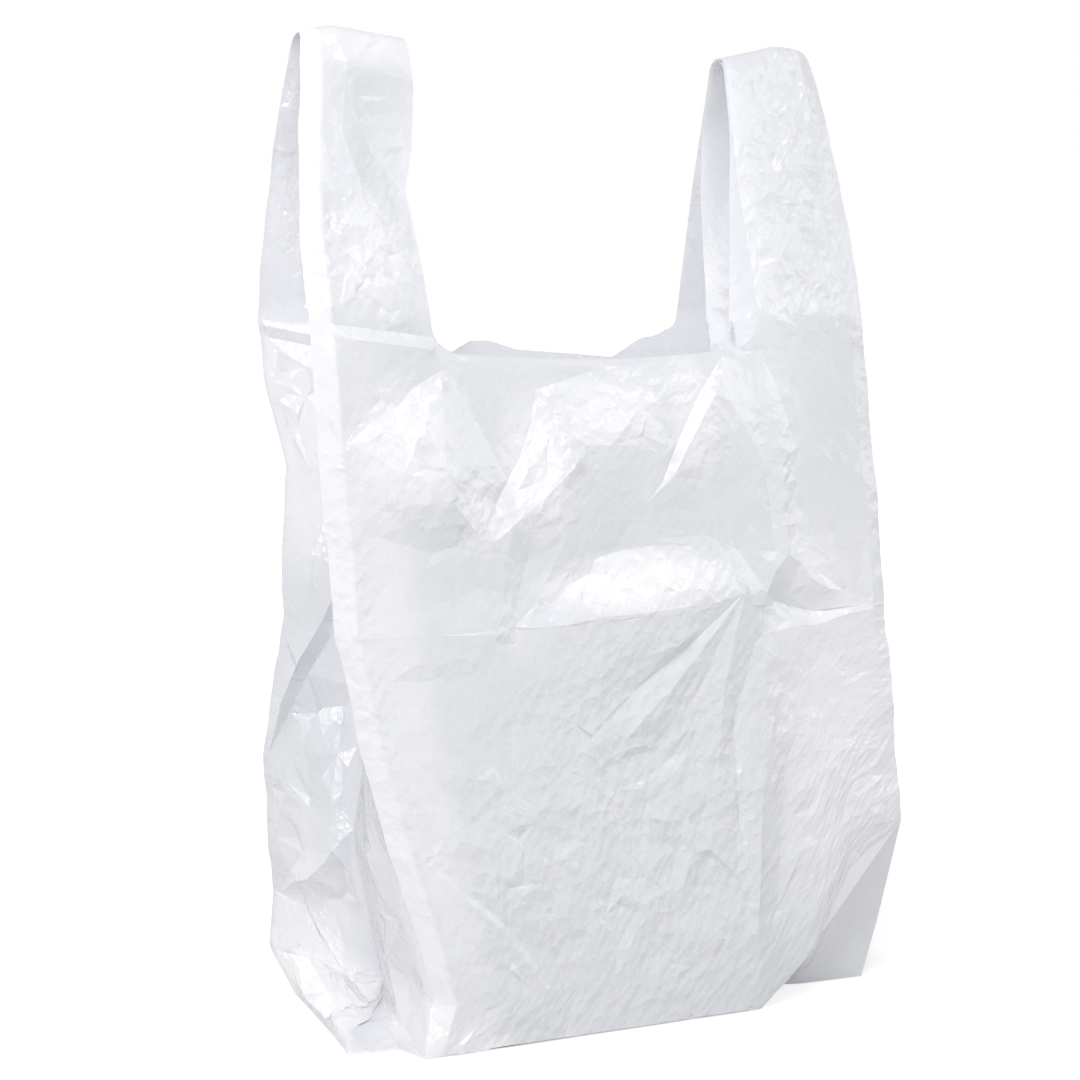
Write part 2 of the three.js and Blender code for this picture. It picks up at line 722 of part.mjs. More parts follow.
const geometry = new THREE.BufferGeometry();
geometry.setAttribute('position', new THREE.Float32BufferAttribute(positions, 3));
geometry.setIndex(index);
geometry.computeBoundingBox();
const middle = geometry.boundingBox.getCenter(new THREE.Vector3());
geometry.translate(-middle.x, -middle.y, -geometry.boundingBox.min.z);
geometry.computeVertexNormals();

const filmMaterial = new THREE.MeshStandardMaterial({
  name: 'white_film',
  color: 0xf2f3f7,
  roughness: 0.35,
  metalness: 0,
});
const film = new THREE.Mesh(geometry, filmMaterial);
film.name = 'bag_film';

const carrierBag = new THREE.Group();
carrierBag.add(film);

export default carrierBag;
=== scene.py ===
"""A white plastic carrier bag: the looks of its film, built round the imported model.

The film is one sheet. Its shape is worked out in millimetres from the sizes that the bag was
cut to and stands at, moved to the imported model's place, and given its folds, packing creases,
crumples and fine wrinkles in whole arrays.
"""

import logging
import math
from collections.abc import Callable
from dataclasses import dataclass
from enum import Enum

import bpy
import numpy as np
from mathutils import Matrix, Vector, geometry


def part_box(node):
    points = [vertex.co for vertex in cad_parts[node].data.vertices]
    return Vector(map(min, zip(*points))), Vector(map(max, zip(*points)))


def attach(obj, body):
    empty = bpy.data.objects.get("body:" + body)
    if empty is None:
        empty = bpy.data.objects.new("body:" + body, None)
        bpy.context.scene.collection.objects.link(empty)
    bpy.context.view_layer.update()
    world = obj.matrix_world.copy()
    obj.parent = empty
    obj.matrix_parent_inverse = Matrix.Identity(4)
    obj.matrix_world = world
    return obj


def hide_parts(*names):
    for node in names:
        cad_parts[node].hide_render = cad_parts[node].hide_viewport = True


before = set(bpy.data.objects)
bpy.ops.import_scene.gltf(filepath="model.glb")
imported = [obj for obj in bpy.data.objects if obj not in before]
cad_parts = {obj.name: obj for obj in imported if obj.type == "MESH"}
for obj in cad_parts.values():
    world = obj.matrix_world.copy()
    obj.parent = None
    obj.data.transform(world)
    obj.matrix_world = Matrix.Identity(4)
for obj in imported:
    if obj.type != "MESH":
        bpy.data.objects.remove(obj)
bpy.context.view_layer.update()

Array = np.ndarray
log = logging.getLogger("carrier_bag")

# Metres in a millimetre, and a distance in millimetres that is too small to matter
MM = 0.001
HAIR = 1e-6
# Millimetres of flat film in one unit of its map, and from one sheet's start to the next's
UV_UNIT = 100.0
SHEET_GAP = 400.0
# Heights between which every crease net is framed, in millimetres above the turn
NET_HEIGHTS = (-80.0, 520.0)
# How near a crease a place counts as on it, and how near a sheet's side no crinkle starts
ON_CREASE = 0.05
CRINKLE_MARGIN = 4.0
# Degrees between two facets from which the edge between them is sharp
SHARP_FROM = 14.0


class Sheet(Enum):
    """The six panels of the gusseted tube, in their order round it."""

    FRONT = 0
    RIGHT_GUSSET_FRONT = 1
    RIGHT_GUSSET_BACK = 2
    BACK = 3
    LEFT_GUSSET_BACK = 4
    LEFT_GUSSET_FRONT = 5


class Level(float, Enum):
    """Heights counted up the film: the base weld, the turn under the base, the lower packing
    crease, the handles' shoulders and the handles' crests."""

    SEAL = -1.0
    TURN = 0.0
    LOWER_CREASE = 1.0
    SHOULDER = 2.0
    CREST = 3.0


SEAL, TURN, LOWER_CREASE, SHOULDER, CREST = Level


def mix(low: Array | float, high: Array | float, share: Array | float) -> Array | float:
    """One share of the way from low to high."""
    return low + (high - low) * share


def fade(distance: Array | float, over: float) -> Array:
    """0 up to a border, 1 from some way past it, and a straight rise in between."""
    return np.clip(distance / over, 0, 1)


def follow(rows: Array, at: Array | float) -> Array:
    """Straight-line values on a chain of rows.

    Args:
        rows: one row for each known place, the place first and its values after it.
        at: places to read, of any shape.

    Returns:
        The values at each place, along a last axis.
    """
    table = np.asarray(rows, float)
    place = np.asarray(at, float)
    return np.stack([np.interp(place, table[:, 0], column) for column in table.T[1:]], axis=-1)


@dataclass(frozen=True)
class Handle:
    """One handle's edges, as rows of a place and how far the film is off its flat cut there.

    Attributes:
        side: -1 for the left handle and 1 for the right one.
        crease: its outer crease, by level.
        edge: its inner edge, by level.
        drop: how far its crest hangs, by share from the outer crease to the inner edge.
    """

    side: int
    crease: tuple[tuple[float, float], ...]
    edge: tuple[tuple[float, float], ...]
    drop: tuple[tuple[float, float], ...]


LEFT_HANDLE = Handle(
    side=-1,
    crease=((SHOULDER, 2), (2.35, 2), (2.7, -2), (CREST, -7)),
    edge=((SHOULDER, 2), (2.3, 7), (2.45, 9), (2.6, 4), (2.8, 1), (CREST, 1)),
    drop=((0, 2), (0.3, 0), (1, 5)),
)
RIGHT_HANDLE = Handle(
    side=1,
    crease=((SHOULDER, 2), (2.3, 0), (2.5, -3), (2.65, -6), (2.85, -9), (CREST, -15)),
    edge=((SHOULDER, -2), (2.3, -3), (2.5, -4), (CREST, -3)),
    drop=((0, 1), (0.35, 0), (1, 7)),
)


@dataclass(frozen=True)
class BagForm:
    """The bag's main form in millimetres, the same as in the part's source.

    Attributes:
        corner_radius: radius of the punched mouth's corners.
        lower_crease: height of the lower packing crease.
        corner_lift: how high the front right corner hangs.
        crest_radius: how round the handles' crests are.
        layer_gap: how far a handle's inner layer lies behind its outer one.
        gap_run: levels above the shoulder over which that gap opens.
        parting: how far the inner layer parts at the shoulder, as a share of half the mouth.
        parting_run: levels above the shoulder over which it closes.
        floor: height of the film where it rests.
        fold_share: where the front panel leaves the floor, as a share of its width.
        leg_part: one leg's share of a handle's loop.
    """

    panel_width: float = 300.0
    gusset_depth: float = 80.0
    handle_width: float = 60.0
    corner_radius: float = 15.0
    standing_height: float = 500.0
    lip_height: float = 345.0
    lower_crease: float = 208.0
    corner_lift: float = 88.0
    base_depth: float = 118.0
    mouth_depth: float = 82.0
    crest_radius: float = 9.0
    layer_gap: float = 1.2
    gap_run: float = 0.15
    parting: float = 0.72
    parting_run: float = 0.75
    floor: float = 0.3
    fold_share: float = 0.72
    leg_part: float = 0.46

    @property
    def half(self) -> float:
        """Half the panels' width."""
        return self.panel_width / 2

    @property
    def base(self) -> float:
        """Half the base's depth."""
        return self.base_depth / 2

    @property
    def mouth(self) -> float:
        """Half the mouth's depth."""
        return self.mouth_depth / 2

    @property
    def shoulder(self) -> float:
        """Height of the handles' shoulders."""
        return self.lip_height + self.corner_radius

    @property
    def leg_share(self) -> float:
        """A handle's share of its panel's width."""
        return self.handle_width / self.panel_width

    def depth(self, spread: float) -> float:
        """How far out a crease stands, from the mouth's depth at 0 to the base's at 1."""
        return mix(self.mouth, self.base, spread)

    def crease(self, start: float, under: list, rows: list) -> Array:
        """A crease line as rows of level, x, y and z.

        Args:
            start: its height where the film turns under the base.
            under: whole rows below the turn.
            rows: level, x and y above it.

        Returns:
            The rows, with their heights filled in.
        """
        risen = []
        for level, x, y in rows:
            low = mix(start, self.lower_crease, level)
            high = mix(self.lower_crease, self.shoulder, level - LOWER_CREASE)
            risen.append((level, x, y, low if level <= LOWER_CREASE else high))
        return np.array([*under, *risen], float)

    @property
    def weld_ends(self) -> tuple[tuple, tuple]:
        """The left and the right end of the base weld."""
        left = (-self.half + 14, -0.63 * self.base, self.floor)
        right = (self.half + 14, -0.53 * self.base, self.floor)
        return left, right

    @property
    def fold_ends(self) -> tuple[tuple, tuple]:
        """The lower ends of the left and the right gusset fold."""
        return (-self.half + 47, 0, 18), (self.half - 22, 0, 18)

    def lines(self) -> dict[str, Array]:
        """The six lines that run up the film: four outer creases and two gusset folds."""
        half, base, lift, d = self.half, self.base, self.corner_lift, self.depth
        weld_left, weld_right = self.weld_ends
        end_left, end_right = self.fold_ends
        back_lift = 0.68 * lift
        return {
            "front_left": self.crease(
                self.floor,
                [(SEAL, *weld_left), (-0.5, -half + 40, -0.7 * base, self.floor)],
                [
                    (TURN, -half + 46, -base),
                    (0.12, -half + 54, -d(0.95)),
                    (0.28, -half + 46, -d(0.78)),
                    (0.48, -half + 34, -d(0.5)),
                    (0.72, -half + 21, -d(0.22)),
                    (LOWER_CREASE, -half + 9, -d(0.06)),
                    (1.3, -half + 6, -d(0.06)),
                    (1.6, -half + 1, -d(0.04)),
                    (SHOULDER, -half - 2, -self.mouth),
                ],
            ),
            "front_right": self.crease(
                lift,
                [(SEAL, *weld_right), (-0.5, half + 24, -0.51 * base, 0.33 * lift)],
                [
                    (TURN, half + 31, -d(0.06)),
                    (0.5, half + 25, -d(0.06)),
                    (LOWER_CREASE, half + 18, -d(0.06)),
                    (1.2, half + 15, -d(0.06)),
                    (1.6, half + 8, -d(0.03)),
                    (SHOULDER, half + 2, -self.mouth),
                ],
            ),
            "right_fold": np.array(
                [
                    (SEAL, *end_right),
                    (TURN, half - 25, 0, 34),
                    (LOWER_CREASE, half - 50, 0, self.lower_crease),
                    (SHOULDER, half - 66, 0, self.lip_height),
                ],
                float,
            ),
            "back_right": self.crease(
                back_lift,
                [
                    (SEAL, *weld_right),
                    (-0.66, half + 26, -0.1 * base, 0.11 * lift),
                    (-0.33, half + 32, 0.35 * base, 0.33 * lift),
                ],
                [
                    (TURN, half + 29, d(0.3)),
                    (0.5, half + 22, d(0.17)),
                    (LOWER_CREASE, half + 16, d(0.06)),
                    (1.5, half + 6, d(0.06)),
                    (SHOULDER, half + 1, self.mouth),
                ],
            ),
            "back_left": self.crease(
                back_lift,
                [
                    (SEAL, *weld_left),
                    (-0.75, -half + 16, -0.07 * base, 0.03 * lift),
                    (-0.5, -half + 5, 0.27 * base, 0.2 * lift),
                    (-0.25, -half + 5, d(0.9), 0.36 * lift),
                ],
                [
                    (TURN, -half + 8, d(0.95)),
                    (0.5, -half + 2, d(0.8)),
                    (LOWER_CREASE, -half + 11, d(0.2)),
                    (1.2, -half + 9, d(0.06)),
                    (1.5, -half + 13, d(0.06)),
                    (1.75, -half + 4, d(0.06)),
                    (SHOULDER, -half - 1, self.mouth),
                ],
            ),
            "left_fold": np.array(
                [
                    (SEAL, *end_left),
                    (TURN, -half + 46, 0, 26),
                    (0.42, -half + 31, 0, 0.48 * self.lower_crease),
                    (LOWER_CREASE, -half + 50, 0, self.lower_crease),
                    (SHOULDER, -half + 68, 0, self.lip_height),
                ],
                float,
            ),
        }

    def mouth_edge(self, inside: Array) -> Array:
        """Height of the punched mouth's edge: a quarter circle in from a handle's inner edge,
        then level.

        Args:
            inside: millimetres in from the handle's inner edge.

        Returns:
            The edge's height.
        """
        left = np.maximum(self.corner_radius - np.maximum(inside, 0), 0)
        return self.shoulder - np.sqrt(self.corner_radius**2 - left**2)

    def on_loop(
        self, handle: Handle, across: Array, along: Array, depth: Array
    ) -> tuple[Array, Array]:
        """Places on a handle's loop: two slanting legs joined by a round crest.

        Args:
            handle: which handle.
            across: share from the outer crease to the inner edge.
            along: share of the loop, from the front shoulder over the crest to the back one.
            depth: how far in from the loop's outer face.

        Returns:
            The places, and the level of each.
        """
        top = self.standing_height - self.floor - follow(handle.drop, across)[..., 0]
        centre = top - self.crest_radius
        foot = self.mouth + self.layer_gap * across
        slant = np.arctan2(foot - self.crest_radius, centre - self.shoulder)
        near = np.minimum(along, 1 - along)
        facing = np.where(along <= 0.5, -1.0, 1.0)
        up = np.clip(near / self.leg_part, 0, 1)
        turn = np.clip((near - self.leg_part) / (0.5 - self.leg_part), 0, 1)
        tilt = mix(slant, math.pi / 2, turn)
        on_leg = near <= self.leg_part
        leg_y = mix(foot, self.crest_radius * np.cos(slant), up)
        leg_z = mix(self.shoulder, centre + self.crest_radius * np.sin(slant), up)
        y = np.where(on_leg, leg_y, self.crest_radius * np.cos(tilt))
        z = np.where(on_leg, leg_z, centre + self.crest_radius * np.sin(tilt))
        level = SHOULDER + (z - self.shoulder) / (top - self.shoulder)
        crease = self.half + follow(handle.crease, level)[..., 0]
        edge = self.half - self.handle_width + follow(handle.edge, level)[..., 0]
        x = handle.side * mix(crease, edge, across)
        y, z = facing * (y - depth * np.cos(tilt)), z - depth * np.sin(tilt)
        return np.stack([x, y, z], axis=-1), level

    def layer_depth(self, inner: bool, across: Array, level: Array) -> Array:
        """How far a layer lies in from the loop's outer face: the gusset's layer parts from
        the panel's towards the shoulder, where it turns into the mouth.

        Args:
            inner: whether the layer is the gusset's.
            across: share from the outer crease to the inner edge.
            level: the level of each place.

        Returns:
            The depth in millimetres.
        """
        if not inner:
            return np.zeros_like(across + level)
        above = level - SHOULDER
        gap = self.layer_gap * fade(above, self.gap_run) * fade(across, 1 / 8)
        parted = self.mouth * self.parting * np.maximum(0, 1 - above / self.parting_run) ** 1.3
        return gap + parted * across

    def handle_place(
        self, handle: Handle, inner: bool, across: Array, along: Array
    ) -> tuple[Array, Array]:
        """Places on one layer of a handle, and their levels, as on_loop gives them."""
        zero = np.zeros_like(across + along)
        _, level = self.on_loop(handle, across, along, zero)
        place, _ = self.on_loop(handle, across, along, self.layer_depth(inner, across, level))
        return place, level

    def panel_top(self, front: bool, share: Array) -> Array:
        """The top edge of the front or back panel below its handles: across one handle's
        foot, along the mouth, which bows out in a half wave, and across the other's foot.

        Args:
            front: whether the panel is the front one.
            share: shares of the panel's width from the left crease.

        Returns:
            One point for each share.
        """
        along = np.full_like(share, 0.0 if front else 1.0)
        leg = self.leg_share
        left, _ = self.handle_place(LEFT_HANDLE, False, np.clip(share / leg, 0, 1), along)
        right, _ = self.handle_place(RIGHT_HANDLE, False, np.clip((1 - share) / leg, 0, 1), along)
        middle = np.clip((share - leg) / (1 - 2 * leg), 0, 1)
        place = mix(left, right, middle[:, None])
        inside = (np.minimum(share, 1 - share) - leg) * self.panel_width
        between = (share > leg) & (share < 1 - leg)
        place[:, 2] = np.where(between, self.mouth_edge(inside), place[:, 2])
        bow = -2.0 if front else 2.0
        place[:, 1] += np.where(between, bow * np.sin(np.pi * middle), 0)
        return place

    def gusset_top(self, handle: Handle, fold: Array, front: bool, share: Array) -> Array:
        """The top edge of one half of a gusset: across its handle's foot, then along the
        mouth.

        Args:
            handle: the handle that it runs up into.
            fold: the gusset's fold, as rows.
            front: whether the half is the front one.
            share: shares of its width from the outer crease.

        Returns:
            One point for each share.
        """
        along = np.full_like(share, 0.0 if front else 1.0)
        in_handle = share * self.gusset_depth / self.handle_width
        edge, _ = self.handle_place(handle, True, np.clip(in_handle, 0, 1), along)
        inside = share * self.gusset_depth - self.handle_width
        past = np.clip(inside / (self.gusset_depth - self.handle_width), 0, 1)
        fold_top = np.array([*follow(fold, SHOULDER)[:2], self.lip_height])
        place = mix(edge, fold_top, past[:, None])
        place[:, 2] = np.where(inside > 0, self.mouth_edge(inside), place[:, 2])
        return place

    def weld(self) -> Array:
        """The base weld, as rows of share, x, y and z from the left end."""
        half, base, floor = self.half, self.base, self.floor
        left, right = self.weld_ends
        return np.array(
            [
                (0, *left),
                (0.15, -0.67 * half, -0.34 * base, floor),
                (0.3, -0.4 * half, -0.07 * base, floor),
                (self.fold_share, 0.56 * half, -0.17 * base, floor),
                (0.88, 0.83 * half, -0.49 * base, floor),
                (1, *right),
            ]
        )

    def front_rows(self, lines: dict[str, Array]) -> tuple[Array, Array]:
        """The front panel's level lines at the turn and at the lower crease."""
        half, base, lift = self.half, self.base, self.corner_lift
        d, high = self.depth, self.lower_crease
        turn = np.array(
            [
                (0, *follow(lines["front_left"], TURN)),
                (self.fold_share, half - 66, -base, self.floor),
                (0.8, half - 30, -d(0.72), 0.31 * lift),
                (0.9, half - 6, -d(0.35), 0.74 * lift),
                (1, *follow(lines["front_right"], TURN)),
            ]
        )
        crease = np.array(
            [
                (0, *follow(lines["front_left"], LOWER_CREASE)),
                (0.35, -half * 0.22, -d(0.3), high + 1),
                (0.69, half * 0.48, -d(0.5), high + 6),
                (0.85, half * 0.8, -d(0.2), high - 2),
                (1, *follow(lines["front_right"], LOWER_CREASE)),
            ]
        )
        return turn, crease

    def back_rows(self, lines: dict[str, Array]) -> tuple[Array, Array]:
        """The back panel's level lines at the turn and at the lower crease."""
        half, base, lift = self.half, self.base, self.corner_lift
        d, high = self.depth, self.lower_crease
        turn = np.array(
            [
                (0, *follow(lines["back_left"], TURN)),
                (0.08, -half + 30, d(1), 0.25 * lift),
                (0.16, -half + 55, base, self.floor),
                (0.84, half - 20, base, self.floor),
                (0.92, half + 5, d(0.8), 0.3 * lift),
                (1, *follow(lines["back_right"], TURN)),
            ]
        )
        crease = np.array(
            [
                (0, *follow(lines["back_left"], LOWER_CREASE)),
                (0.4, -half * 0.15, d(0.5), high),
                (0.7, half * 0.45, d(0.4), high + 3),
                (1, *follow(lines["back_right"], LOWER_CREASE)),
            ]
        )
        return turn, crease

    def gusset_rows(self, lines: dict[str, Array]) -> dict[str, Array]:
        """The gussets' lower edges, and the left gusset's bulge at the turn."""
        half, base = self.half, self.base
        left, right = self.weld_ends
        end_left, end_right = self.fold_ends
        return {
            "left": np.array(
                [
                    (0, *left),
                    (0.35, -half + 18, -0.47 * base, 4),
                    (0.6, -half + 33, -0.34 * base, 5),
                    (0.85, -half + 44, -0.1 * base, 12),
                    (1, *end_left),
                ]
            ),
            "right": np.array(
                [
                    (0, *right),
                    (0.2, half + 9, -0.45 * base, 4),
                    (0.6, half - 5, -0.25 * base, 8),
                    (1, *end_right),
                ]
            ),
            "left_turn": np.array(
                [
                    (0, *follow(lines["back_left"], TURN)),
                    (0.25, -half + 20, 0.55 * base, 0.68 * self.corner_lift - 2),
                    (0.5, -half + 27, 0.34 * base, 39),
                    (0.72, -half + 34, 0.17 * base, 28),
                    (1, *follow(lines["left_fold"], TURN)),
                ]
            ),
        }


@dataclass
class Panel:
    """One panel of the tube, between two of its lines.

    Attributes:
        sheet: which panel it is.
        start: the line at share 0, as rows.
        end: the line at share 1.
        levels: a function of the share for each level line, from the weld to the top.
        width: its width on the flat film.
        handles: the handles that it runs up into.
        inner: whether its layer of a handle is the inner one.
        front: whether it lies on the bag's front half.
    """

    sheet: Sheet
    start: Array
    end: Array
    levels: tuple
    width: float
    handles: tuple[Handle, ...]
    inner: bool
    front: bool

    @property
    def backwards(self) -> bool:
        """Whether the panel runs towards the left crease or the outer crease."""
        return self.sheet in (Sheet.BACK, Sheet.RIGHT_GUSSET_BACK, Sheet.LEFT_GUSSET_FRONT)

    def across(self, run: Array) -> Array:
        """Millimetres from the left crease of a wide panel, or from a gusset's outer crease."""
        return self.width - run if self.backwards else run

    def top(self, form: BagForm, across: Array) -> Array:
        """Height of the cut edge on the flat film, below the handles: the shoulder across a
        handle, then the mouth's corner and its straight lip."""
        if self.inner:
            inside = across - form.handle_width
        else:
            inside = np.minimum(across, self.width - across) - form.handle_width
        return np.where(inside > 0, form.mouth_edge(inside), form.shoulder)

    def below_shoulder(self, form: BagForm, run: Array, height: Array) -> Array:
        """The panel's points below the handles: a Coons patch in each span between two level
        lines. Each patch is the two side lines mixed across, plus the two level lines mixed
        upwards, less the four corners mixed both ways.

        Args:
            form: the bag's sizes.
            run: millimetres along the panel, in the ring's direction.
            height: height on the flat film.

        Returns:
            One point for each place.
        """
        top = self.top(form, self.across(run))
        level = np.where(height < 0, height / form.base, height / form.lower_crease)
        above_crease = LOWER_CREASE + (height - form.lower_crease) / (top - form.lower_crease)
        level = np.where(height > form.lower_crease, above_crease, level)
        span = np.floor(np.clip(level, SEAL, SHOULDER - HAIR))
        points = np.zeros((len(run), 3))
        for place, low in enumerate((SEAL, TURN, LOWER_CREASE)):
            picked = span == low
            share = run[picked] / self.width
            across = share[:, None]
            up = (level[picked] - low)[:, None]
            under, over = self.levels[place], self.levels[place + 1]
            ends = np.array([0.0, 1.0])
            corners_low, corners_high = under(ends), over(ends)
            side_start = follow(self.start, level[picked])
            side_end = follow(self.end, level[picked])
            if low == LOWER_CREASE:
                side_start = side_start + (corners_high[0] - follow(self.start, SHOULDER)) * up
                side_end = side_end + (corners_high[1] - follow(self.end, SHOULDER)) * up
            patch = mix(under(share), over(share), up) + mix(side_start, side_end, across)
            patch = patch - mix(corners_low[0], corners_low[1], across) * (1 - up)
            points[picked] = patch - mix(corners_high[0], corners_high[1], across) * up
        return points

    def places(self, form: BagForm, run: Array, height: Array) -> Array:
        """The panel's points, with its layer of the handles above the shoulders.

        Args:
            form: the bag's sizes.
            run: millimetres along the panel, in the ring's direction.
            height: height on the flat film.

        Returns:
            One point for each place.
        """
        points = self.below_shoulder(form, run, np.minimum(height, form.shoulder))
        across = self.across(run)
        along = fade(height - form.shoulder, form.standing_height - form.shoulder) / 2
        along = along if self.front else 1 - along
        for handle in self.handles:
            from_crease = across
            if not self.inner and handle.side > 0:
                from_crease = self.width - across
            picked = (height > form.shoulder - HAIR) & (from_crease < form.handle_width + HAIR)
            share = from_crease[picked] / form.handle_width
            points[picked], _ = form.handle_place(handle, self.inner, share, along[picked])
        points[:, 2] = np.maximum(points[:, 2], form.floor)
        return points


@dataclass(frozen=True)
class Crinkle:
    """A patch of small sharp facets in a sheet.

    Attributes:
        x: its middle across the sheet.
        z: its middle height on the film.
        wide: half its width.
        high: half its height.
        turn: degrees that it leans to the left.
        step: the facets' size.
        rise: how far they stand out or in.
        seed: the seed of its random places.
        stretch: how much longer than wide the facets are.
        shake: how far the lattice is shaken, as a share of the step.
    """

    x: float
    z: float
    wide: float
    high: float
    turn: float
    step: float
    rise: float
    seed: int
    stretch: float = 1.0
    shake: float = 0.42

    def spots(self) -> Array:
        """Places on a shaken lattice within the ellipse, as rows of x, height and a random
        rise that fades at the ellipse's border."""
        random = np.random.default_rng(self.seed)
        reach = int(max(self.wide, self.high) / self.step) + 1
        index = np.arange(-reach, reach + 1) * self.step
        across, up = np.meshgrid(index, index)
        shake = self.shake
        across = (across + random.uniform(-shake, shake, across.shape) * self.step).ravel()
        up = (up + random.uniform(-shake, shake, up.shape) * self.step).ravel() * self.stretch
        rise = random.uniform(-1, 1, up.shape) * self.rise
        inside = (across / self.wide) ** 2 + (up / self.high) ** 2
        angle = math.radians(self.turn)
        x = self.x + across * math.cos(angle) - up * math.sin(angle)
        z = self.z + across * math.sin(angle) + up * math.cos(angle)
        rise = rise * np.clip((1 - inside) * 3, 0, 1)
        return np.stack([x, z, rise], axis=1)[inside < 1]


@dataclass(frozen=True)
class CreaseNet:
    """Sharp creases pressed into a sheet.

    Attributes:
        width: the sheet's width.
        points: for each name, its place across, its height on the film and how far it stands
            out, in millimetres.
        creases: chains of names, each name joined to the next.
        crinkles: patches of small facets.
        lift: how many times their own rise the points stand out.
    """

    width: float
    points: dict[str, tuple[float, float, float]]
    creases: tuple[str, ...]
    crinkles: tuple[Crinkle, ...] = ()
    lift: float = 1.0

    def chains(self) -> tuple[Array, list[tuple[int, int]]]:
        """The named points, and the pairs of point numbers that creases join."""
        names = list(self.points)
        edges = []
        for chain in self.creases:
            ids = [names.index(name) for name in chain.split()]
            edges += list(zip(ids[:-1], ids[1:]))
        places = np.array(list(self.points.values()), float).reshape(-1, 3)
        return places * (1, 1, self.lift), edges

    def facets(self) -> tuple[Array, Array, Array]:
        """The flat facets between the creases: a triangulation that keeps every crease.

        Returns:
            The corners as x, height and rise, three corner numbers for each facet, and the
            pairs of corner numbers that are creases.
        """
        points, edges = self.chains()
        corners, faces, kept = triangulate(points, edges, self.width)
        for crinkle in self.crinkles:
            spots = self.spots(crinkle, corners, faces, kept)
            every = np.concatenate([corners, spots])
            corners, faces, whole = triangulate(every, [tuple(pair) for pair in kept], self.width)
            found = {tuple(place) for place in np.round(spots[:, :2], 3)}
            is_spot = np.array([tuple(place) in found for place in np.round(corners[:, :2], 3)])
            pairs = edge_pairs(faces)
            length = np.linalg.norm(corners[pairs[:, 0], :2] - corners[pairs[:, 1], :2], axis=1)
            short = length < 2.6 * crinkle.step * crinkle.stretch
            extra = pairs[is_spot[pairs].any(axis=1) & short]
            kept = np.unique(np.concatenate([whole, extra]), axis=0)
        return corners, faces, kept

    def spots(self, crinkle: Crinkle, corners: Array, faces: Array, kept: Array) -> Array:
        """A crinkle's spots on the facets that are there before it. They keep off the sheet's
        sides and off every crease, and their rise fades towards a crease.

        Args:
            crinkle: the patch.
            corners: the facets' corners, as x, height and rise.
            faces: three corner numbers for each facet.
            kept: the pairs of corner numbers that are creases.

        Returns:
            Rows of x, height and rise.
        """
        spots = crinkle.spots()
        spots = spots[np.minimum(spots[:, 0], self.width - spots[:, 0]) > CRINKLE_MARGIN]
        off = away(spots[:, :2], corners, kept, 2 * crinkle.step)
        spots[:, 2] *= fade(off, crinkle.step)
        spots = spots[off > 0.3 * crinkle.step]
        spots[:, 2] += linear_rise(corners, faces, spots[:, 0], spots[:, 1])
        return spots


def edge_pairs(faces: Array) -> Array:
    """Each edge of some triangles once, as two corner numbers."""
    ends = np.concatenate([faces[:, [0, 1]], faces[:, [1, 2]], faces[:, [2, 0]]])
    return np.unique(np.sort(ends, axis=1), axis=0)


def triangulate(points: Array, edges: list, width: float) -> tuple[Array, Array, Array]:
    """A Delaunay triangulation that keeps given edges, in a frame round the sheet.

    Args:
        points: rows of x, height and rise.
        edges: pairs of point numbers to keep.
        width: the sheet's width.

    Returns:
        The corners as x, height and rise, three corner numbers for each facet, and the pairs
        of corner numbers that lie on the kept edges.
    """
    low, high = NET_HEIGHTS
    outside = [(0, low, 0), (width, low, 0), (width, high, 0), (0, high, 0)]
    points = np.concatenate([points, outside])
    flat = [Vector((x, z)) for x, z in points[:, :2]]
    made, made_edges, faces, origins, edge_origins, _ = geometry.delaunay_2d_cdt(
        flat, edges, [], 0, 0.01
    )
    rise = np.zeros(len(made))
    place = np.array([(spot.x, spot.y) for spot in made])
    known = np.array([bool(origin) for origin in origins])
    rise[known] = [points[origin[0], 2] for origin in origins if origin]
    for spot in np.flatnonzero(~known):
        rise[spot] = crossing_rise(points, edges, place[spot])
    kept = [tuple(sorted(edge)) for edge, origin in zip(made_edges, edge_origins) if origin]
    corners = np.column_stack([place, rise])
    return corners, np.array(faces), np.array(sorted(set(kept)), int).reshape(-1, 2)


def crossing_rise(points: Array, edges: list, place: Array) -> float:
    """How far out creases stand where they cross: the mean of those that pass nearest.

    Args:
        points: rows of x, height and rise.
        edges: pairs of point numbers that creases join.
        place: the crossing's x and height.

    Returns:
        The rise in millimetres.
    """
    ends = np.array(edges, int)
    start, end = points[ends[:, 0]], points[ends[:, 1]]
    run = end[:, :2] - start[:, :2]
    length = np.maximum((run**2).sum(axis=1), 1e-9)
    share = np.clip(((place - start[:, :2]) * run).sum(axis=1) / length, 0, 1)
    off = np.linalg.norm(start[:, :2] + share[:, None] * run - place, axis=1)
    near = off < off.min() + ON_CREASE
    return float(mix(start[near, 2], end[near, 2], share[near]).mean())


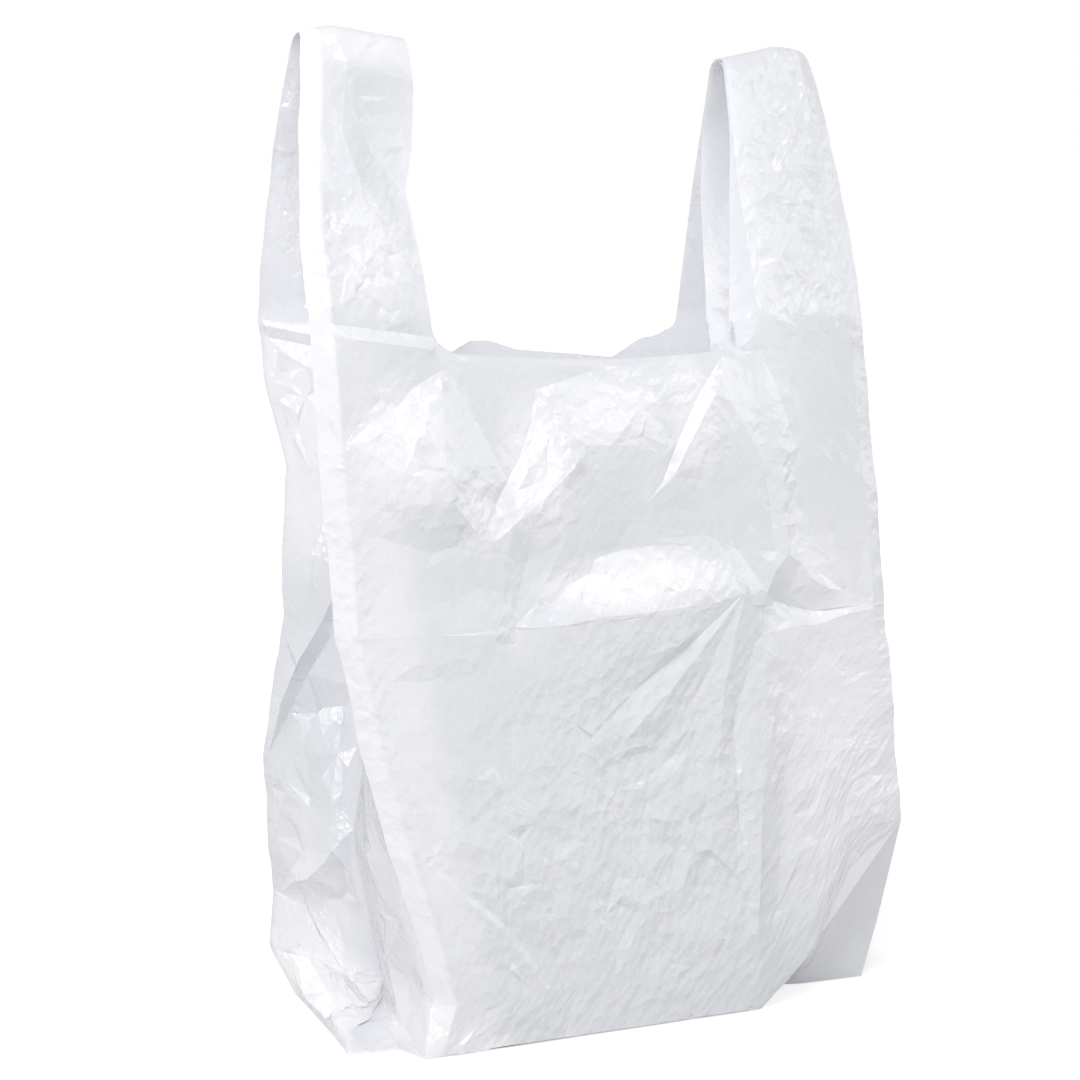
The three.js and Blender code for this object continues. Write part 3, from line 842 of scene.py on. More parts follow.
def linear_rise(corners: Array, faces: Array, x: Array, z: Array) -> Array:
    """How far flat facets stand out at each place: straight between a facet's corners.

    Args:
        corners: the facets' corners, as x, height and rise.
        faces: three corner numbers for each facet.
        x: the places across.
        z: their heights.

    Returns:
        One rise for each place, and 0 outside every facet.
    """
    total = np.zeros_like(x)
    order = np.argsort(x)
    in_order = x[order]
    for face in faces:
        (ax, az, a), (bx, bz, b), (cx, cz, c) = corners[face]
        whole = (bz - cz) * (ax - cx) + (cx - bx) * (az - cz)
        if abs(whole) < 1e-9:
            continue
        first = np.searchsorted(in_order, min(ax, bx, cx) - HAIR)
        last = np.searchsorted(in_order, max(ax, bx, cx) + HAIR)
        near = order[first:last]
        one = ((bz - cz) * (x[near] - cx) + (cx - bx) * (z[near] - cz)) / whole
        two = ((cz - az) * (x[near] - cx) + (ax - cx) * (z[near] - cz)) / whole
        inside = (one >= -HAIR) & (two >= -HAIR) & (one + two <= 1 + HAIR)
        total[near[inside]] = (one * a + two * b + (1 - one - two) * c)[inside]
    return total


def away(places: Array, points: Array, pairs: Array, reach: float = 5.0) -> Array:
    """Distance of each place from the nearest of some straight edges.

    Args:
        places: the places.
        points: the edges' ends.
        pairs: two end numbers for each edge.
        reach: the distance past which the answer may be too large.

    Returns:
        One distance for each place.
    """
    nearest = np.full(len(places), 1e9)
    order = np.argsort(places[:, 0])
    in_order = places[order, 0]
    for one, two in pairs:
        start, end = points[one, :2], points[two, :2]
        run = end - start
        first = np.searchsorted(in_order, min(start[0], end[0]) - reach)
        last = np.searchsorted(in_order, max(start[0], end[0]) + reach)
        near = order[first:last]
        off = places[near] - start
        share = np.clip(off @ run / max(float(np.dot(run, run)), 1e-9), 0, 1)
        far = np.linalg.norm(off - share[:, None] * run, axis=1)
        nearest[near] = np.minimum(nearest[near], far)
    return nearest


@dataclass(frozen=True)
class Fineness:
    """How far apart the mesh's vertices lie, in millimetres.

    Attributes:
        edge: along the outline.
        under: on the part that turns under the base.
        front: on the front panel.
        left_gusset: on the half of the left gusset that shows most.
        inner: on the other halves.
        back: on the back panel.
        margin: how far before the outline a crease ends.
        shake: how far the places between creases are shaken, as a share of the step.
        clear: how far they keep from a crease, as a share of the step.
        clear_rim: how far they keep from the outline, as a share of the step.
    """

    edge: float = 2.0
    under: float = 5.0
    front: float = 1.8
    left_gusset: float = 2.1
    inner: float = 3.0
    back: float = 3.4
    margin: float = 0.8
    shake: float = 0.16
    clear: float = 0.5
    clear_rim: float = 0.55

    def step(self, sheet: Sheet) -> float:
        """The step inside a sheet."""
        steps = {
            Sheet.FRONT: self.front,
            Sheet.BACK: self.back,
            Sheet.LEFT_GUSSET_BACK: self.left_gusset,
        }
        return steps.get(sheet, self.inner)


def stations(ends: list[float], step: float) -> Array:
    """Even places from the first end to the last, through every end between them.

    Args:
        ends: the places that it has to pass through.
        step: about how far apart the places lie.

    Returns:
        The places.
    """
    runs = []
    for low, high in zip(ends[:-1], ends[1:]):
        count = max(int(round(abs(high - low) / step)), 1)
        runs.append(np.linspace(low, high, count + 1)[:-1])
    return np.concatenate([*runs, [ends[-1]]])


class FlatSheet:
    """One panel with its layer of the handles, laid flat and cut into triangles.

    Attributes:
        flat: each vertex's run along the panel and height on the film.
        faces: three vertex numbers for each face, outwards.
        rim: whether each vertex lies on the sheet's outline.
        rise: how far each vertex stands out, from the creases alone.
        creased: whether each vertex lies on a crease.
    """

    def __init__(self, form: BagForm, panel: Panel, net: CreaseNet, fine: Fineness) -> None:
        """Lays out the outline and the creases, fills the rest, and joins it all."""
        self.form, self.panel, self.fine = form, panel, fine
        self.step = fine.step(panel.sheet)
        corners, facets, creases = net.facets()
        outline = self.outline()
        on_creases = self.along_creases(corners, creases)
        inside = self.lattice(corners, creases)
        self.join(outline, on_creases, inside)
        x = panel.across(self.flat[:, 0])
        self.rise = linear_rise(corners, facets, x, self.flat[:, 1])
        places = np.column_stack([x, self.flat[:, 1]])
        self.creased = away(places, corners, creases) < ON_CREASE
        if panel.backwards:
            self.faces = self.faces[:, ::-1]

    def rim_heights(self) -> list[float]:
        """Heights that every upright edge has a vertex at."""
        form = self.form
        below = [-form.base, 0, form.lower_crease]
        return [*below, form.lip_height, form.shoulder, form.standing_height]

    def outline(self) -> Array:
        """The sheet's outline, as x and height, anticlockwise from the weld's left end."""
        form, edge, width = self.form, self.fine.edge, self.panel.width
        lip, shoulder, crest = form.lip_height, form.shoulder, form.standing_height
        leg, radius = form.handle_width, form.corner_radius
        bottom = stations([0, width], self.fine.under)
        rising = stations(self.rim_heights(), edge)
        across_leg = stations([0, leg], edge)
        up_leg = stations([shoulder, crest], edge)
        angle = np.linspace(0, math.pi / 2, 12)
        corner_x, corner_z = leg + radius * (1 - np.cos(angle)), shoulder - radius * np.sin(angle)
        corner = np.column_stack([corner_x, corner_z])
        chains = [np.column_stack([bottom, np.full(len(bottom), -form.base)])]
        if self.panel.inner:
            fold = rising[rising <= lip + HAIR]
            chains.append(np.column_stack([np.full(len(fold), width), fold]))
            lip_run = stations([width, leg + radius], edge)
            chains.append(np.column_stack([lip_run, np.full(len(lip_run), lip)]))
        else:
            chains.append(np.column_stack([np.full(len(rising), width), rising]))
            chains.append(np.column_stack([width - across_leg, np.full(len(across_leg), crest)]))
            chains.append(np.column_stack([np.full(len(up_leg), width - leg), up_leg[::-1]]))
            chains.append(np.column_stack([width - corner[:, 0], corner[:, 1]]))
            lip_run = stations([width - leg - radius, leg + radius], edge)
            chains.append(np.column_stack([lip_run, np.full(len(lip_run), lip)]))
        chains.append(corner[::-1])
        chains.append(np.column_stack([np.full(len(up_leg), leg), up_leg]))
        chains.append(np.column_stack([across_leg[::-1], np.full(len(across_leg), crest)]))
        chains.append(np.column_stack([np.zeros(len(rising)), rising[::-1]]))
        return np.concatenate([chain[:-1] for chain in chains])

    def inside(self, places: Array, margin: float) -> Array:
        """Whether each place lies inside the outline by a margin."""
        form, panel = self.form, self.panel
        x, z = places[:, 0], places[:, 1]
        in_width = (x > margin) & (x < panel.width - margin) & (z > -form.base + margin)
        below = z < panel.top(form, x) - margin
        from_crease = x if panel.inner else np.minimum(x, panel.width - x)
        in_leg = (from_crease < form.handle_width - margin) & (z < form.standing_height - margin)
        return in_width & (below | in_leg)

    def along_creases(self, corners: Array, creases: Array) -> list[Array]:
        """The creases as chains of places a step apart, cut off outside the outline."""
        chains = []
        for one, two in creases:
            start, end = corners[one, :2], corners[two, :2]
            count = max(int(round(np.linalg.norm(end - start) / self.step)), 1)
            places = mix(start, end, np.linspace(0, 1, count + 1)[:, None])
            inside = self.inside(places, self.fine.margin)
            runs = np.split(places, np.flatnonzero(np.diff(inside.astype(int))) + 1)
            chains += runs[0 if inside[0] else 1 :: 2]
        return chains

    def lattice(self, corners: Array, creases: Array) -> Array:
        """Places between the creases: a shaken lattice of even triangles, coarse below the
        turn and fine above it.

        Args:
            corners: the creases' ends, as x, height and rise.
            creases: two end numbers for each.

        Returns:
            Rows of x and height.
        """
        step, shake = self.step, self.fine.shake
        random = np.random.default_rng(self.panel.sheet.value)
        turn = -2.0
        spans = ((-self.form.base, turn, self.fine.under), (turn, self.form.standing_height, step))
        places = []
        for low, high, size in spans:
            columns = np.arange(0, self.panel.width, size)
            rows = np.arange(low, high, size * math.sqrt(3) / 2)
            x, z = np.meshgrid(columns, rows)
            x = x + (np.arange(len(rows)) % 2)[:, None] * size / 2
            x = x + random.uniform(-shake, shake, x.shape) * size
            z = z + random.uniform(-shake, shake, z.shape) * size
            places.append(np.column_stack([x.ravel(), z.ravel()]))
        places = np.concatenate(places)
        places = places[self.inside(places, self.fine.clear_rim * step)]
        return places[away(places, corners, creases) > self.fine.clear * step]

    def join(self, outline: Array, creases: list[Array], inside: Array) -> None:
        """Triangulates the outline, the creases and the places between them, with a straight
        edge across at the turn and at the lower crease.

        Args:
            outline: the outline's places.
            creases: chains of places.
            inside: the other places.
        """
        width = self.panel.width
        flat = [outline]
        edges = []
        count = len(outline)
        for chain in creases:
            flat.append(chain)
            edges += [(place, place + 1) for place in range(count, count + len(chain) - 1)]
            count += len(chain)
        for height in (0.0, self.form.lower_crease):
            off = [np.hypot(outline[:, 0] - x, outline[:, 1] - height) for x in (0, width)]
            edges.append((int(np.argmin(off[0])), int(np.argmin(off[1]))))
        every = np.concatenate([*flat, inside])
        vectors = [Vector(place) for place in every.tolist()]
        made, _, faces, origins, _, _ = geometry.delaunay_2d_cdt(
            vectors, edges, [list(range(len(outline)))], 1, 0.005
        )
        places = np.array([(spot.x, spot.y) for spot in made])
        first = np.array([min(origin) if origin else -1 for origin in origins])
        known = first >= 0
        places[known] = every[first[known]]
        self.rim = known & (first < len(outline))
        run = width - places[:, 0] if self.panel.backwards else places[:, 0]
        self.flat = np.column_stack([run, places[:, 1]])
        self.faces = np.array(faces, int)
        corner = places[self.faces]
        one, two = corner[:, 1] - corner[:, 0], corner[:, 2] - corner[:, 0]
        area = one[:, 0] * two[:, 1] - one[:, 1] * two[:, 0]
        self.faces[area < 0] = self.faces[area < 0][:, ::-1]
        self.faces = self.faces[np.abs(area) > 1e-4]


class FilmMesh:
    """The whole film as one mesh of triangles.

    Attributes:
        points: places of the vertices, in millimetres.
        faces: three vertex numbers for each face, outwards.
        sheet: the sheet that each vertex lies on.
        across: each vertex's place on its sheet, in millimetres from the left or outer crease.
        height: each vertex's height on the flat film, in millimetres above the turn.
        rise: how far out each vertex stands, from the creases alone.
        creased: whether each vertex lies on a crease.
        corners: the flat place of each face's three corners, with the sheets side by side.
    """

    def __init__(self, form: BagForm, fine: Fineness) -> None:
        """Lays out the six sheets, places them and joins them along their rims."""
        self.form = form
        self.lines = form.lines()
        self.panels = self.make_panels()
        sheets = [FlatSheet(form, panel, NETS[panel.sheet], fine) for panel in self.panels]
        starts = np.cumsum([0, *[len(sheet.flat) for sheet in sheets]])
        self.points = np.concatenate(
            [sheet.panel.places(form, sheet.flat[:, 0], sheet.flat[:, 1]) for sheet in sheets]
        )
        self.faces = np.concatenate([sheet.faces + start for sheet, start in zip(sheets, starts)])
        self.sheet = np.concatenate([np.full(len(s.flat), s.panel.sheet.value) for s in sheets])
        self.across = np.concatenate([s.panel.across(s.flat[:, 0]) for s in sheets])
        self.height = np.concatenate([s.flat[:, 1] for s in sheets])
        self.rise = np.concatenate([s.rise for s in sheets])
        self.creased = np.concatenate([s.creased for s in sheets])
        flat = np.column_stack([self.across + SHEET_GAP * self.sheet, self.height])
        self.corners = flat[self.faces]
        self.merge(np.concatenate([s.rim for s in sheets]))

    def on(self, *sheets: Sheet) -> Array:
        """Whether each vertex lies on one of some sheets."""
        return np.isin(self.sheet, [sheet.value for sheet in sheets])

    @property
    def wide(self) -> Array:
        """Whether each vertex lies on the front or the back panel."""
        return self.on(Sheet.FRONT, Sheet.BACK)

    @property
    def right(self) -> Array:
        """Whether each vertex lies on the bag's right half."""
        beyond = self.wide & (self.across > self.form.half)
        return beyond | self.on(Sheet.RIGHT_GUSSET_FRONT, Sheet.RIGHT_GUSSET_BACK)

    @property
    def behind(self) -> Array:
        """Whether each vertex lies on the bag's back half."""
        return self.on(Sheet.BACK, Sheet.RIGHT_GUSSET_BACK, Sheet.LEFT_GUSSET_BACK)

    @property
    def from_crease(self) -> Array:
        """Millimetres from the outer crease on each vertex's own side of the bag."""
        far = self.form.panel_width - self.across
        return np.where(self.wide & self.right, far, self.across)

    @property
    def from_crest(self) -> Array:
        """Millimetres of film from the handles' crests."""
        return self.form.standing_height - self.height

    def merge(self, rim: Array) -> None:
        """Joins the rim vertices that lie in the same place, and drops what no face uses.

        Args:
            rim: whether each vertex lies on its sheet's outline.
        """
        keys = np.round(self.points, 3)
        keys[~rim] = np.column_stack([np.flatnonzero(~rim) + 1e6] * 3)
        _, first, where = np.unique(keys, axis=0, return_index=True, return_inverse=True)
        faces = first[where.reshape(-1)][self.faces]
        whole = (faces != np.roll(faces, 1, axis=1)).all(axis=1)
        used, renumbered = np.unique(faces[whole], return_inverse=True)
        self.faces = renumbered.reshape(-1, 3)
        self.corners = self.corners[whole]
        self.points, self.sheet = self.points[used], self.sheet[used]
        self.across, self.height = self.across[used], self.height[used]
        self.rise, self.creased = self.rise[used], self.creased[used]

    def make_panels(self) -> list[Panel]:
        """The six panels in their order round the tube."""
        form, lines = self.form, self.lines
        front_turn, front_crease = form.front_rows(lines)
        back_turn, back_crease = form.back_rows(lines)
        gusset, weld = form.gusset_rows(lines), form.weld()
        both = (LEFT_HANDLE, RIGHT_HANDLE)

        def between(one: str, other: str, level: float) -> Callable[[Array], Array]:
            """A straight level line between two of the film's lines."""
            low, high = follow(lines[one], level), follow(lines[other], level)
            return lambda share: mix(low, high, share[:, None])

        def along(rows: Array, back: bool = False) -> Callable[[Array], Array]:
            """A level line that follows rows, from either end."""
            return lambda share: follow(rows, 1 - share if back else share)

        def top(
            handle: Handle, fold: str, front: bool, back: bool = False
        ) -> Callable[[Array], Array]:
            """A gusset's top edge, from either end."""
            rows = lines[fold]
            return lambda share: form.gusset_top(handle, rows, front, 1 - share if back else share)

        def panel(
            sheet: Sheet, start: str, end: str, levels: tuple, handles: tuple, front: bool
        ) -> Panel:
            """A panel between two of the film's lines."""
            wide = sheet in (Sheet.FRONT, Sheet.BACK)
            width = form.panel_width if wide else form.gusset_depth
            return Panel(sheet, lines[start], lines[end], levels, width, handles, not wide, front)

        return [
            panel(
                Sheet.FRONT,
                "front_left",
                "front_right",
                (
                    along(weld),
                    along(front_turn),
                    along(front_crease),
                    lambda share: form.panel_top(True, share),
                ),
                both,
                True,
            ),
            panel(
                Sheet.RIGHT_GUSSET_FRONT,
                "front_right",
                "right_fold",
                (
                    along(gusset["right"]),
                    between("front_right", "right_fold", TURN),
                    between("front_right", "right_fold", LOWER_CREASE),
                    top(RIGHT_HANDLE, "right_fold", True),
                ),
                (RIGHT_HANDLE,),
                True,
            ),
            panel(
                Sheet.RIGHT_GUSSET_BACK,
                "right_fold",
                "back_right",
                (
                    along(gusset["right"], back=True),
                    between("right_fold", "back_right", TURN),
                    between("right_fold", "back_right", LOWER_CREASE),
                    top(RIGHT_HANDLE, "right_fold", False, back=True),
                ),
                (RIGHT_HANDLE,),
                False,
            ),
            panel(
                Sheet.BACK,
                "back_right",
                "back_left",
                (
                    along(weld, back=True),
                    along(back_turn, back=True),
                    along(back_crease, back=True),
                    lambda share: form.panel_top(False, 1 - share),
                ),
                both,
                False,
            ),
            panel(
                Sheet.LEFT_GUSSET_BACK,
                "back_left",
                "left_fold",
                (
                    along(gusset["left"]),
                    along(gusset["left_turn"]),
                    between("back_left", "left_fold", LOWER_CREASE),
                    top(LEFT_HANDLE, "left_fold", False),
                ),
                (LEFT_HANDLE,),
                False,
            ),
            panel(
                Sheet.LEFT_GUSSET_FRONT,
                "left_fold",
                "front_left",
                (
                    along(gusset["left"], back=True),
                    between("left_fold", "front_left", TURN),
                    between("left_fold", "front_left", LOWER_CREASE),
                    top(LEFT_HANDLE, "left_fold", True, back=True),
                ),
                (LEFT_HANDLE,),
                True,
            ),
        ]

    def normals(self) -> Array:
        """Each vertex's outward direction, from the faces round it by their area."""
        corner = self.points[self.faces]
        facing = np.cross(corner[:, 1] - corner[:, 0], corner[:, 2] - corner[:, 0])
        total = np.zeros_like(self.points)
        for place in range(3):
            np.add.at(total, self.faces[:, place], facing)
        length = np.linalg.norm(total, axis=1, keepdims=True)
        return total / np.maximum(length, 1e-9)

    def relaxed(self, values: Array, held: Array, turns: int) -> Array:
        """Values smoothed over the mesh: each turn, a vertex that isn't held takes the mean
        of its neighbours.

        Args:
            values: one value for each vertex.
            held: whether each vertex keeps its value.
            turns: how many times the others take the mean.

        Returns:
            One value for each vertex.
        """
        pairs, count = edge_pairs(self.faces), len(values)
        one, other = pairs[:, 0], pairs[:, 1]
        near = np.bincount(one, minlength=count) + np.bincount(other, minlength=count)
        for _ in range(turns):
            total = np.bincount(one, values[other], count)
            total = total + np.bincount(other, values[one], count)
            values = np.where(held, values, total / np.maximum(near, 1))
        return values


# Each crinkle below is its place across and height, half its width and height, its lean, its
# step and rise, its seed and its stretch. Some points lie on no crease: they hold the film
# at their rise between the creases.
FRONT_NET = CreaseNet(
    width=300.0,
    points={
        "edge_500": (7, 497, 2), "edge_430": (8, 430, 4), "edge_365": (9, 365, 4),
        "edge_345": (9, 345, 4.5), "edge_300": (10, 300, 5), "edge_262": (10, 262, 5),
        "edge_240": (10, 240, 4.5), "edge_208": (9, 208, 4), "edge_150": (11, 150, 4),
        "edge_100": (12, 100, 4), "edge_50": (12, 50, 4), "edge_5": (13, 5, 2),
        "patch_tip": (12, 302, 5), "patch_a": (24, 311, 1), "patch_b": (40, 319, -1),
        "patch_c": (47, 327, -1), "patch_top": (63, 336, 0), "patch_d": (61, 322, 5),
        "patch_e": (59, 310, 6.5), "patch_star": (61, 295, 7.5), "patch_f": (60, 282, 8),
        "patch_g": (57, 273, 8.5), "patch_h": (44, 272, 7.5), "patch_i": (32, 284, 6.5),
        "patch_j": (26, 295, 6), "under_patch": (48, 248, 2), "by_patch": (80, 312, 0),
        "vee_side": (71, 273, 5), "vee_tip": (81, 252, 4), "vee_a": (85, 270, -1),
        "vee_b": (94, 282, -1.5), "vee_c": (101, 292, -2), "vee_d": (110, 311, -2),
        "vee_e": (113, 328, -1), "ridge_a": (95, 262, 4.5), "ridge_b": (110, 273, 7),
        "ridge_c": (126, 287, 9), "ridge_top": (134, 299, 8), "blade_top": (120, 325, 2),
        "blade": (127, 308, 6), "lip_a": (147, 298, 8), "lip_b": (167, 320, 5),
        "lip_c": (143, 338, 0), "lip_d": (155, 306, 7.5),
        "ledge_0": (94, 208, 5), "ledge_1": (112, 208, 8), "ledge_2": (130, 210, 9.5),
        "ledge_3": (159, 210, 10), "ledge_4": (194, 211, 9), "ledge_star": (209, 214, 8),
        "shelf_1": (106, 217, 2), "shelf_2": (121, 228, 0), "notch": (131, 231, -1),
        "shelf_3": (134, 238, -1), "shelf_4": (144, 241, -2), "shelf_5": (165, 243, 0),
        "shelf_6": (187, 230, 4), "arch_a": (158, 256, 1), "arch_b": (195, 246, 0.5),
        "arch_c": (213, 237, 0), "below_a": (130, 190, 8), "below_b": (172, 192, 9),
        "corner_a": (29, 208, 5.2), "corner_b": (40, 208, 5.4), "corner_c": (77, 206, 5.8),
        "corner_d": (60, 226, 1.5), "corner_e": (18, 226, 3), "channel_a": (85, 200, 3),
        "channel_b": (88, 210, 2), "channel_c": (91, 224, 0.5), "channel_d": (98, 240, -0.5),
        "channel_e": (83, 225, 2.6), "channel_f": (91, 240, 1),
        "centre_a": (129, 284, 6), "centre_b": (127, 200, 8.5), "centre_c": (118, 114, 3.5),
        "streak_top": (224, 349, 1), "streak_a": (202, 322, 1), "streak_b": (188, 299, 1.5),
        "streak_c": (175, 276, 2), "streak_d": (166, 267, 3), "streak_e": (180, 279, 5.5),
        "streak_f": (195, 302, 6.5), "streak_g": (208, 321, 6), "streak_h": (225, 346, 2),
        "pleat_top": (238, 346, 1), "pleat_a": (236, 316, 1), "pleat_b": (236, 286, 1),
        "pleat_c": (236, 257, 1), "pleat_d": (234, 238, 2), "pleat_e": (241, 320, 2.5),
        "pleat_f": (245, 290, 3.6), "pleat_g": (243, 260, 4), "pleat_end": (241, 237, 5),
        "pleat_h": (248, 322, 1.2), "pleat_i": (256, 290, 1.2), "pleat_j": (252, 261, 1.6),
        "arch_1": (226, 216, 4), "arch_2": (233, 229, 5), "arch_3": (249, 234, 4.5),
        "arch_4": (255, 226, 4), "arch_5": (266, 219, 3), "arch_6": (244, 210, -3.5),
        "arch_7": (258, 208, -1.5), "arch_8": (233, 212, -1), "star_a": (245, 199, 5),
        "star_b": (221, 193, 4), "star_c": (224, 204, 2), "flap_a": (276, 217, 0),
        "flap_b": (288, 212, 0.5), "flap_c": (274, 203, 3.5), "flap_d": (292, 204, 2.5),
        "burst_a": (179, 191, 5.5), "burst_b": (148, 171, 3.5), "burst_c": (121, 150, 3),
        "burst_d": (172, 175, 7.5), "burst_e": (140, 148, 5.5), "burst_f": (178, 160, 4),
        "burst_g": (158, 140, 2.5), "burst_h": (131, 122, 2), "burst_i": (196, 165, 6.5),
        "burst_j": (190, 120, 4.5), "burst_k": (203, 150, 2.5), "burst_l": (202, 100, 1.5),
        "upright_a": (222, 185, 5.5), "upright_b": (217, 121, 7), "upright_c": (209, 40, 5),
        "upright_d": (216, 2, 1), "slant_a": (232, 160, 4), "slant_b": (256, 104, 6),
        "slant_c": (268, 72, 5.5), "slant_d": (279, 41, 4.5), "slant_e": (296, 6, 1),
        "side_a": (264, 287, 2.5), "side_b": (292, 298, 1), "side_c": (270, 250, 1),
        "right_350": (292, 350, 2), "right_250": (292, 250, 2), "right_150": (292, 150, 2),
        "fold_a": (10, 353, 3), "fold_b": (58, 346, 2.5), "fold_c": (9, 359, 1.5),
        "fold_d": (60, 352, -0.5), "fold_e": (232, 349, 1.5), "fold_f": (296, 355, 1),
        "fold_g": (231, 343, 0), "fold_h": (296, 342, 0.5),
        "grip_a": (22, 478, 6.5), "grip_b": (60, 474, 5.5), "grip_c": (31, 453, 1),
        "grip_d": (38, 440, -0.5), "grip_e": (57, 422, 0.5), "grip_star": (21, 447, 3.4),
        "grip_f": (28, 430, 5), "grip_g": (41, 412, 5.5), "grip_h": (60, 398, 3.5),
        "grip_i": (12, 422, 3.8), "grip_j": (29, 403, 6.5), "grip_k": (36, 393, 6.5),
        "grip_l": (43, 379, 5.5), "grip_m": (50, 359, 1), "grip_n": (14, 403, 3),
        "grip_o": (14, 366, 2.6), "hold_a": (292, 492, 2.5), "hold_b": (289, 474, 3),
        "hold_c": (292, 450, 2.5), "hold_d": (296, 431, 1.5), "hold_e": (286, 481, 1),
        "hold_f": (277, 458, 3.5), "hold_g": (261, 428, 4), "hold_h": (243, 365, 2),
        "hold_i": (255, 389, 4.5), "hold_j": (270, 409, 4), "hold_k": (250, 430, 0.5),
        "hold_l": (262, 480, 0.5), "hold_m": (280, 390, 1),
        "seam_a": (14, 95, 3.5), "seam_b": (46, 60, 2.4), "seam_c": (84, 3, 1.1),
        "seam_d": (17, 97, 2.4), "seam_e": (50, 61, 1.2), "seam_f": (87, 5, 0.2),
        "fan_a": (199, 68, 2.5), "fan_b": (172, 62, 1.5), "fan_c": (134, 137, 3.5),
        "fan_d": (89, 171, 4.5), "fan_e": (110, 60, 2),
        "side_1": (231, 121, 2), "side_2": (222, 44, 0.5), "before_1": (203, 121, 4),
        "before_2": (196, 44, 3), "centre_d": (104, 50, 2.5), "centre_e": (90, 3, 0.6),
        "calm_a": (40, 186, 4), "calm_b": (70, 188, 4.6), "calm_c": (100, 188, 5.8),
        "hem_a": (64, 341.5, 0.6), "hem_b": (150, 341, 0.8), "hem_c": (236, 341.5, 0.6),
    },
    creases=(
        "edge_500 edge_430 edge_365 edge_345 edge_300 edge_262 edge_240 edge_208 edge_150",
        "edge_150 edge_100 edge_50 edge_5",
        "patch_tip patch_a patch_b patch_c patch_top patch_d patch_e patch_star patch_f",
        "patch_f patch_g patch_h patch_i patch_j patch_tip", "patch_star vee_side vee_tip",
        "vee_tip vee_a vee_b vee_c vee_d vee_e blade_top blade ridge_top",
        "vee_tip ridge_a ridge_b ridge_c ridge_top lip_a lip_d lip_b lip_c",
        "ledge_0 ledge_1 ledge_2 ledge_3 ledge_4 ledge_star",
        "ledge_0 shelf_1 shelf_2 notch shelf_3 shelf_4 shelf_5 shelf_6 ledge_star",
        "arch_a arch_b arch_c arch_1", "edge_208 corner_a corner_b corner_c",
        "corner_c channel_b ledge_0", "channel_a channel_b channel_c channel_d",
        "corner_c channel_e channel_f", "edge_240 corner_e corner_a",
        "centre_a notch ledge_2 centre_b centre_c", "ledge_2 below_a", "ledge_3 below_b",
        "streak_top streak_a streak_b streak_c streak_d streak_e streak_f streak_g streak_h",
        "streak_h streak_top", "pleat_top pleat_a pleat_b pleat_c pleat_d",
        "pleat_top pleat_e pleat_f pleat_g pleat_end", "pleat_top pleat_h pleat_i pleat_j",
        "pleat_j arch_3", "arch_1 arch_2 pleat_end arch_3 arch_4 arch_5",
        "arch_1 arch_8 arch_6 arch_7 arch_5", "arch_1 star_c star_b star_a arch_7",
        "arch_5 flap_a flap_b flap_d flap_c arch_7", "ledge_star burst_a burst_b burst_c",
        "ledge_star burst_d burst_e", "ledge_star burst_f burst_g burst_h",
        "ledge_star burst_i burst_j", "ledge_star burst_k burst_l", "ledge_star star_b",
        "star_b upright_a upright_b upright_c upright_d",
        "upright_a slant_a slant_b slant_c slant_d slant_e", "side_a side_b",
        "right_350 right_250 right_150", "edge_365 fold_c fold_d", "edge_345 fold_a fold_b",
        "fold_e fold_f", "fold_g fold_h", "grip_a grip_b", "grip_c grip_d grip_e",
        "grip_star grip_f grip_g grip_h", "grip_star grip_i", "grip_a grip_star",
        "grip_j grip_k grip_l grip_m", "grip_i grip_n grip_o", "grip_f grip_j",
        "hold_a hold_b hold_c hold_d", "hold_e hold_f hold_g", "hold_h hold_i hold_j",
        "seam_a seam_b seam_c", "seam_d seam_e seam_f", "burst_j fan_a fan_b",
        "burst_g fan_c fan_d", "burst_h fan_e", "calm_a calm_b calm_c", "side_1 side_2",
        "before_1 before_2", "centre_c centre_d centre_e", "hem_a hem_b hem_c",
    ),
    crinkles=(
        Crinkle(40, 300, 24, 32, 20, 5, 1.2, 1, 1.5),
        Crinkle(68, 270, 9, 26, 45, 5, 1.2, 14, 1.5),
        Crinkle(108, 285, 15, 38, -38, 5, 1.4, 2, 1.8),
        Crinkle(148, 316, 28, 17, -30, 5, 0.9, 3, 1.6),
        Crinkle(150, 224, 55, 13, 0, 6, 0.8, 4),
        Crinkle(193, 310, 5, 40, -35, 4, 0.4, 5, 2.0),
        Crinkle(246, 290, 12, 50, 0, 6, 0.4, 6, 2.0),
        Crinkle(5, 215, 5, 130, 0, 7, 0.9, 7, 1.5),
        Crinkle(22, 170, 14, 110, 0, 8, 0.8, 27, 1.5),
        Crinkle(24, 14, 20, 16, 0, 8, 1.0, 33),
        Crinkle(14, 60, 14, 60, 0, 8, 0.6, 15, 1.4),
        Crinkle(34, 388, 20, 36, 15, 4.5, 1.0, 8, 1.4),
        Crinkle(29, 459, 11, 10, 0, 5, 0.8, 16),
        Crinkle(40, 490, 18, 8, 0, 6, 0.5, 34),
        Crinkle(46, 450, 12, 18, 20, 7, 0.5, 35),
        Crinkle(268, 405, 24, 66, -12, 4.5, 0.7, 9, 1.8),
        Crinkle(270, 478, 22, 18, 0, 6, 0.6, 36),
        Crinkle(160, 110, 80, 100, -20, 9, 1.2, 10, 1.7),
        Crinkle(80, 95, 56, 95, -20, 8, 1.0, 17, 1.7),
        Crinkle(258, 70, 36, 80, 30, 8, 0.8, 18, 1.7),
        Crinkle(262, 180, 34, 50, 0, 11, 0.5, 19, 1.6),
        Crinkle(120, 250, 90, 36, -20, 11, 0.7, 20, 1.5),
        Crinkle(200, 270, 60, 60, 30, 12, 0.9, 37, 1.6),
        Crinkle(60, 240, 46, 60, 20, 11, 0.8, 38, 1.6),
        Crinkle(130, 352, 80, 8, 0, 9, 0.4, 28),
        Crinkle(150, 352, 130, 6, 0, 7, 0.4, 29),
